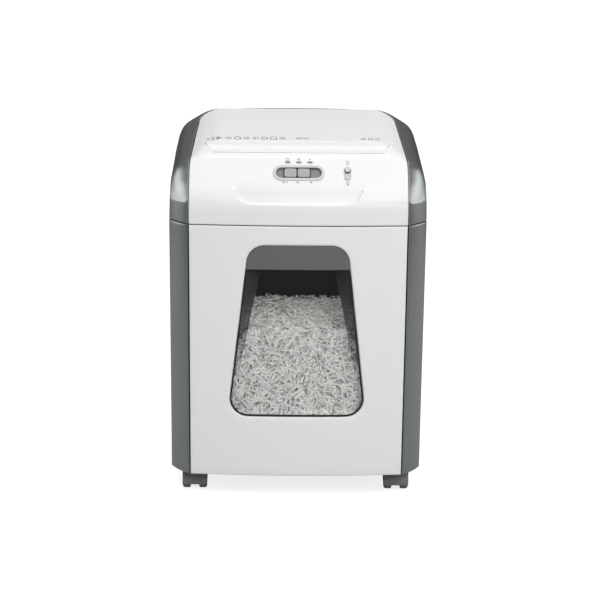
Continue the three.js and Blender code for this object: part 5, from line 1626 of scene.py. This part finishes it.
def make_stage():
    """Pale floor, a bright background, soft lamps and the camera."""
    low, high = (Vector(c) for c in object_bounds())
    mesh = bpy.data.meshes.new("Floor")
    side, near, far = 1.8, -2.6, 1.3
    mesh.from_pydata([(-side, near, 0), (side, near, 0), (side, far, 0), (-side, far, 0)], [], [(0, 1, 2, 3)])
    floor = bpy.data.objects.new("Floor", mesh)
    floor.location.z = low.z
    bpy.context.scene.collection.objects.link(floor)
    # White paper that looks fully lit, and lights the object no more than paper does
    material, tree, shader = start_material("Seamless white paper")
    path = add_node(tree, "ShaderNodeLightPath")
    camera_ray = path.outputs["Is Camera Ray"]
    glow = add_node(tree, "ShaderNodeMath", {1: 0.8}, {0: camera_ray}, operation="MULTIPLY")
    set_values(shader, Base_Color=linear("#b8b8b8"), Roughness=0.9, Emission_Color=linear("#ffffff"))
    tree.links.new(glow.outputs["Value"], shader.inputs["Emission Strength"])
    floor.data.materials.append(material)
    floor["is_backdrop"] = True

    # A white background, and a room that is bright overhead and dim at the sides
    world = bpy.data.worlds.new("Studio")
    bpy.context.scene.world = world
    world.use_nodes = True
    tree = world.node_tree
    tree.nodes.clear()
    path = add_node(tree, "ShaderNodeLightPath")
    seen = add_node(tree, "ShaderNodeBackground", {"Color": linear("#ffffff"), "Strength": 1.15})
    place = add_node(tree, "ShaderNodeTexCoord")
    parts = add_node(tree, "ShaderNodeSeparateXYZ", None, {"Vector": place.outputs["Generated"]})
    rise = add_node(
        tree, "ShaderNodeMapRange", {"From Min": 0.15, "From Max": 0.9, "To Min": 0.07, "To Max": 0.6},
        {"Value": parts.outputs["Z"]},
    )
    room = add_node(
        tree, "ShaderNodeBackground", {"Color": linear("#ffffff")}, {"Strength": rise.outputs["Result"]},
    )
    mix = add_node(tree, "ShaderNodeMixShader", None, {
        "Fac": path.outputs["Is Camera Ray"], 1: room.outputs["Background"], 2: seen.outputs["Background"],
    })
    add_node(tree, "ShaderNodeOutputWorld", None, {"Surface": mix.outputs["Shader"]})

    middle = (low + high) / 2
    area_light("Key", (-1.0, -1.6, 2.2), middle, 1.6, 1.2, 12)
    area_light("Fill", (1.2, -1.6, 2.2), middle, 1.6, 1.2, 13.5)
    area_light("Front", (0.7, -2.1, 1.4), middle, 1.6, 0.8, 20)
    area_light("Top", (0, 0.3, 2.2), middle, 1.2, 0.8, 5)
    for side in (-1, 1):
        area_light("Side", (2.1 * side, 0.5, 0.76), middle, 1.3, 0.36, 5.2)
        area_light("Low Side", (2.0 * side, 0.75, 0.34), middle, 1.1, 0.22, 2.8)
    # A weak lamp over the shreds, where the hollow of the bin would otherwise be black
    inside = Vector((0, -10, 338)) * MM
    area_light("Bin Lamp", inside, inside - Vector((0, 0, 1)), 0.2, 0.19, 0.1)

    pitch, yaw, roll = (math.radians(angle) for angle in CAMERA_ANGLES)
    forward = Vector((math.sin(yaw) * math.cos(pitch), math.cos(yaw) * math.cos(pitch), -math.sin(pitch)))
    right = Vector((math.cos(yaw), -math.sin(yaw), 0))
    up = right.cross(forward)
    x = math.cos(roll) * right + math.sin(roll) * up
    y = math.cos(roll) * up - math.sin(roll) * right
    camera = bpy.data.cameras.new("Camera")
    camera.lens = CAMERA_LENS
    camera.sensor_width = 36
    obj = bpy.data.objects.new("Camera", camera)
    obj.matrix_world = Matrix((
        (x.x, y.x, -forward.x, CAMERA_PLACE[0]), (x.y, y.y, -forward.y, CAMERA_PLACE[1]),
        (x.z, y.z, -forward.z, CAMERA_PLACE[2]), (0, 0, 0, 1),
    ))
    bpy.context.scene.collection.objects.link(obj)
    bpy.context.scene.camera = obj
    bpy.context.scene.view_settings.view_transform = "Standard"


# ---------------------------------------------------------------- operators


class SHREDDER_OT_cad(bpy.types.Operator):
    """Finish the CAD pieces that stay visible"""

    bl_idname = "shredder.cad"
    bl_label = "CAD Pieces"

    def execute(self, context):
        finish_cad_nodes()
        return {"FINISHED"}


class SHREDDER_OT_head_cover(bpy.types.Operator):
    """Make the white cover of the head"""

    bl_idname = "shredder.head_cover"
    bl_label = "Head Cover"

    def execute(self, context):
        make_head_cover()
        return {"FINISHED"}


class SHREDDER_OT_sides(bpy.types.Operator):
    """Make the grey sides of the head and the cabinet"""

    bl_idname = "shredder.sides"
    bl_label = "Grey Sides"

    def execute(self, context):
        for left in (True, False):
            make_head_side(left)
            make_cabinet_side(left)
        make_back_cover()
        return {"FINISHED"}


class SHREDDER_OT_bin(bpy.types.Operator):
    """Make the bin front, its window and the grip"""

    bl_idname = "shredder.bin"
    bl_label = "Bin"

    def execute(self, context):
        make_bin_front()
        make_grip()
        make_seal()
        make_pane()
        return {"FINISHED"}


class SHREDDER_OT_shreds(bpy.types.Operator):
    """Fill the bin with paper strips"""

    bl_idname = "shredder.shreds"
    bl_label = "Paper Shreds"

    def execute(self, context):
        make_shreds()
        return {"FINISHED"}


class SHREDDER_OT_controls(bpy.types.Operator):
    """Make the switches, the lamps and the printed marks"""

    bl_idname = "shredder.controls"
    bl_label = "Controls"

    def execute(self, context):
        make_switch()
        make_lock()
        make_lamps()
        make_marks()
        return {"FINISHED"}


class SHREDDER_OT_casters(bpy.types.Operator):
    """Make the caster wheels"""

    bl_idname = "shredder.casters"
    bl_label = "Casters"

    def execute(self, context):
        for end in ("front", "rear"):
            for side in ("left", "right"):
                make_caster(end + "_" + side)
        return {"FINISHED"}


class SHREDDER_OT_stage(bpy.types.Operator):
    """Set up the floor, the lamps and the camera"""

    bl_idname = "shredder.stage"
    bl_label = "Stage"

    def execute(self, context):
        make_stage()
        return {"FINISHED"}


class SHREDDER_PT_panel(bpy.types.Panel):
    """Lists the shredder's operators and settings"""

    bl_label = "Paper Shredder"
    bl_space_type = "VIEW_3D"
    bl_region_type = "UI"
    bl_category = "Shredder"

    def draw(self, context):
        layout = self.layout
        for operator in OPERATORS:
            layout.operator(operator.bl_idname)
        for group in (context.scene.shredder_sizes, context.scene.shredder_colours):
            for name in group.bl_rna.properties.keys():
                if name not in ("rna_type", "name"):
                    layout.prop(group, name)


OPERATORS = (
    SHREDDER_OT_stage, SHREDDER_OT_cad, SHREDDER_OT_head_cover, SHREDDER_OT_sides, SHREDDER_OT_bin,
    SHREDDER_OT_shreds, SHREDDER_OT_controls, SHREDDER_OT_casters,
)
CLASSES = (ShredderSizes, ShredderColours) + OPERATORS + (SHREDDER_PT_panel,)


def register():
    for cls in CLASSES:
        bpy.utils.register_class(cls)
    bpy.types.Scene.shredder_sizes = bpy.props.PointerProperty(type=ShredderSizes)
    bpy.types.Scene.shredder_colours = bpy.props.PointerProperty(type=ShredderColours)


def unregister():
    del bpy.types.Scene.shredder_colours
    del bpy.types.Scene.shredder_sizes
    for cls in reversed(CLASSES):
        bpy.utils.unregister_class(cls)


def main():
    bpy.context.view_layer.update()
    register()
    bpy.ops.shredder.stage()
    bpy.ops.shredder.cad()
    bpy.ops.shredder.head_cover()
    bpy.ops.shredder.sides()
    bpy.ops.shredder.bin()
    bpy.ops.shredder.shreds()
    bpy.ops.shredder.controls()
    bpy.ops.shredder.casters()


if __name__ == "__main__":
    main()
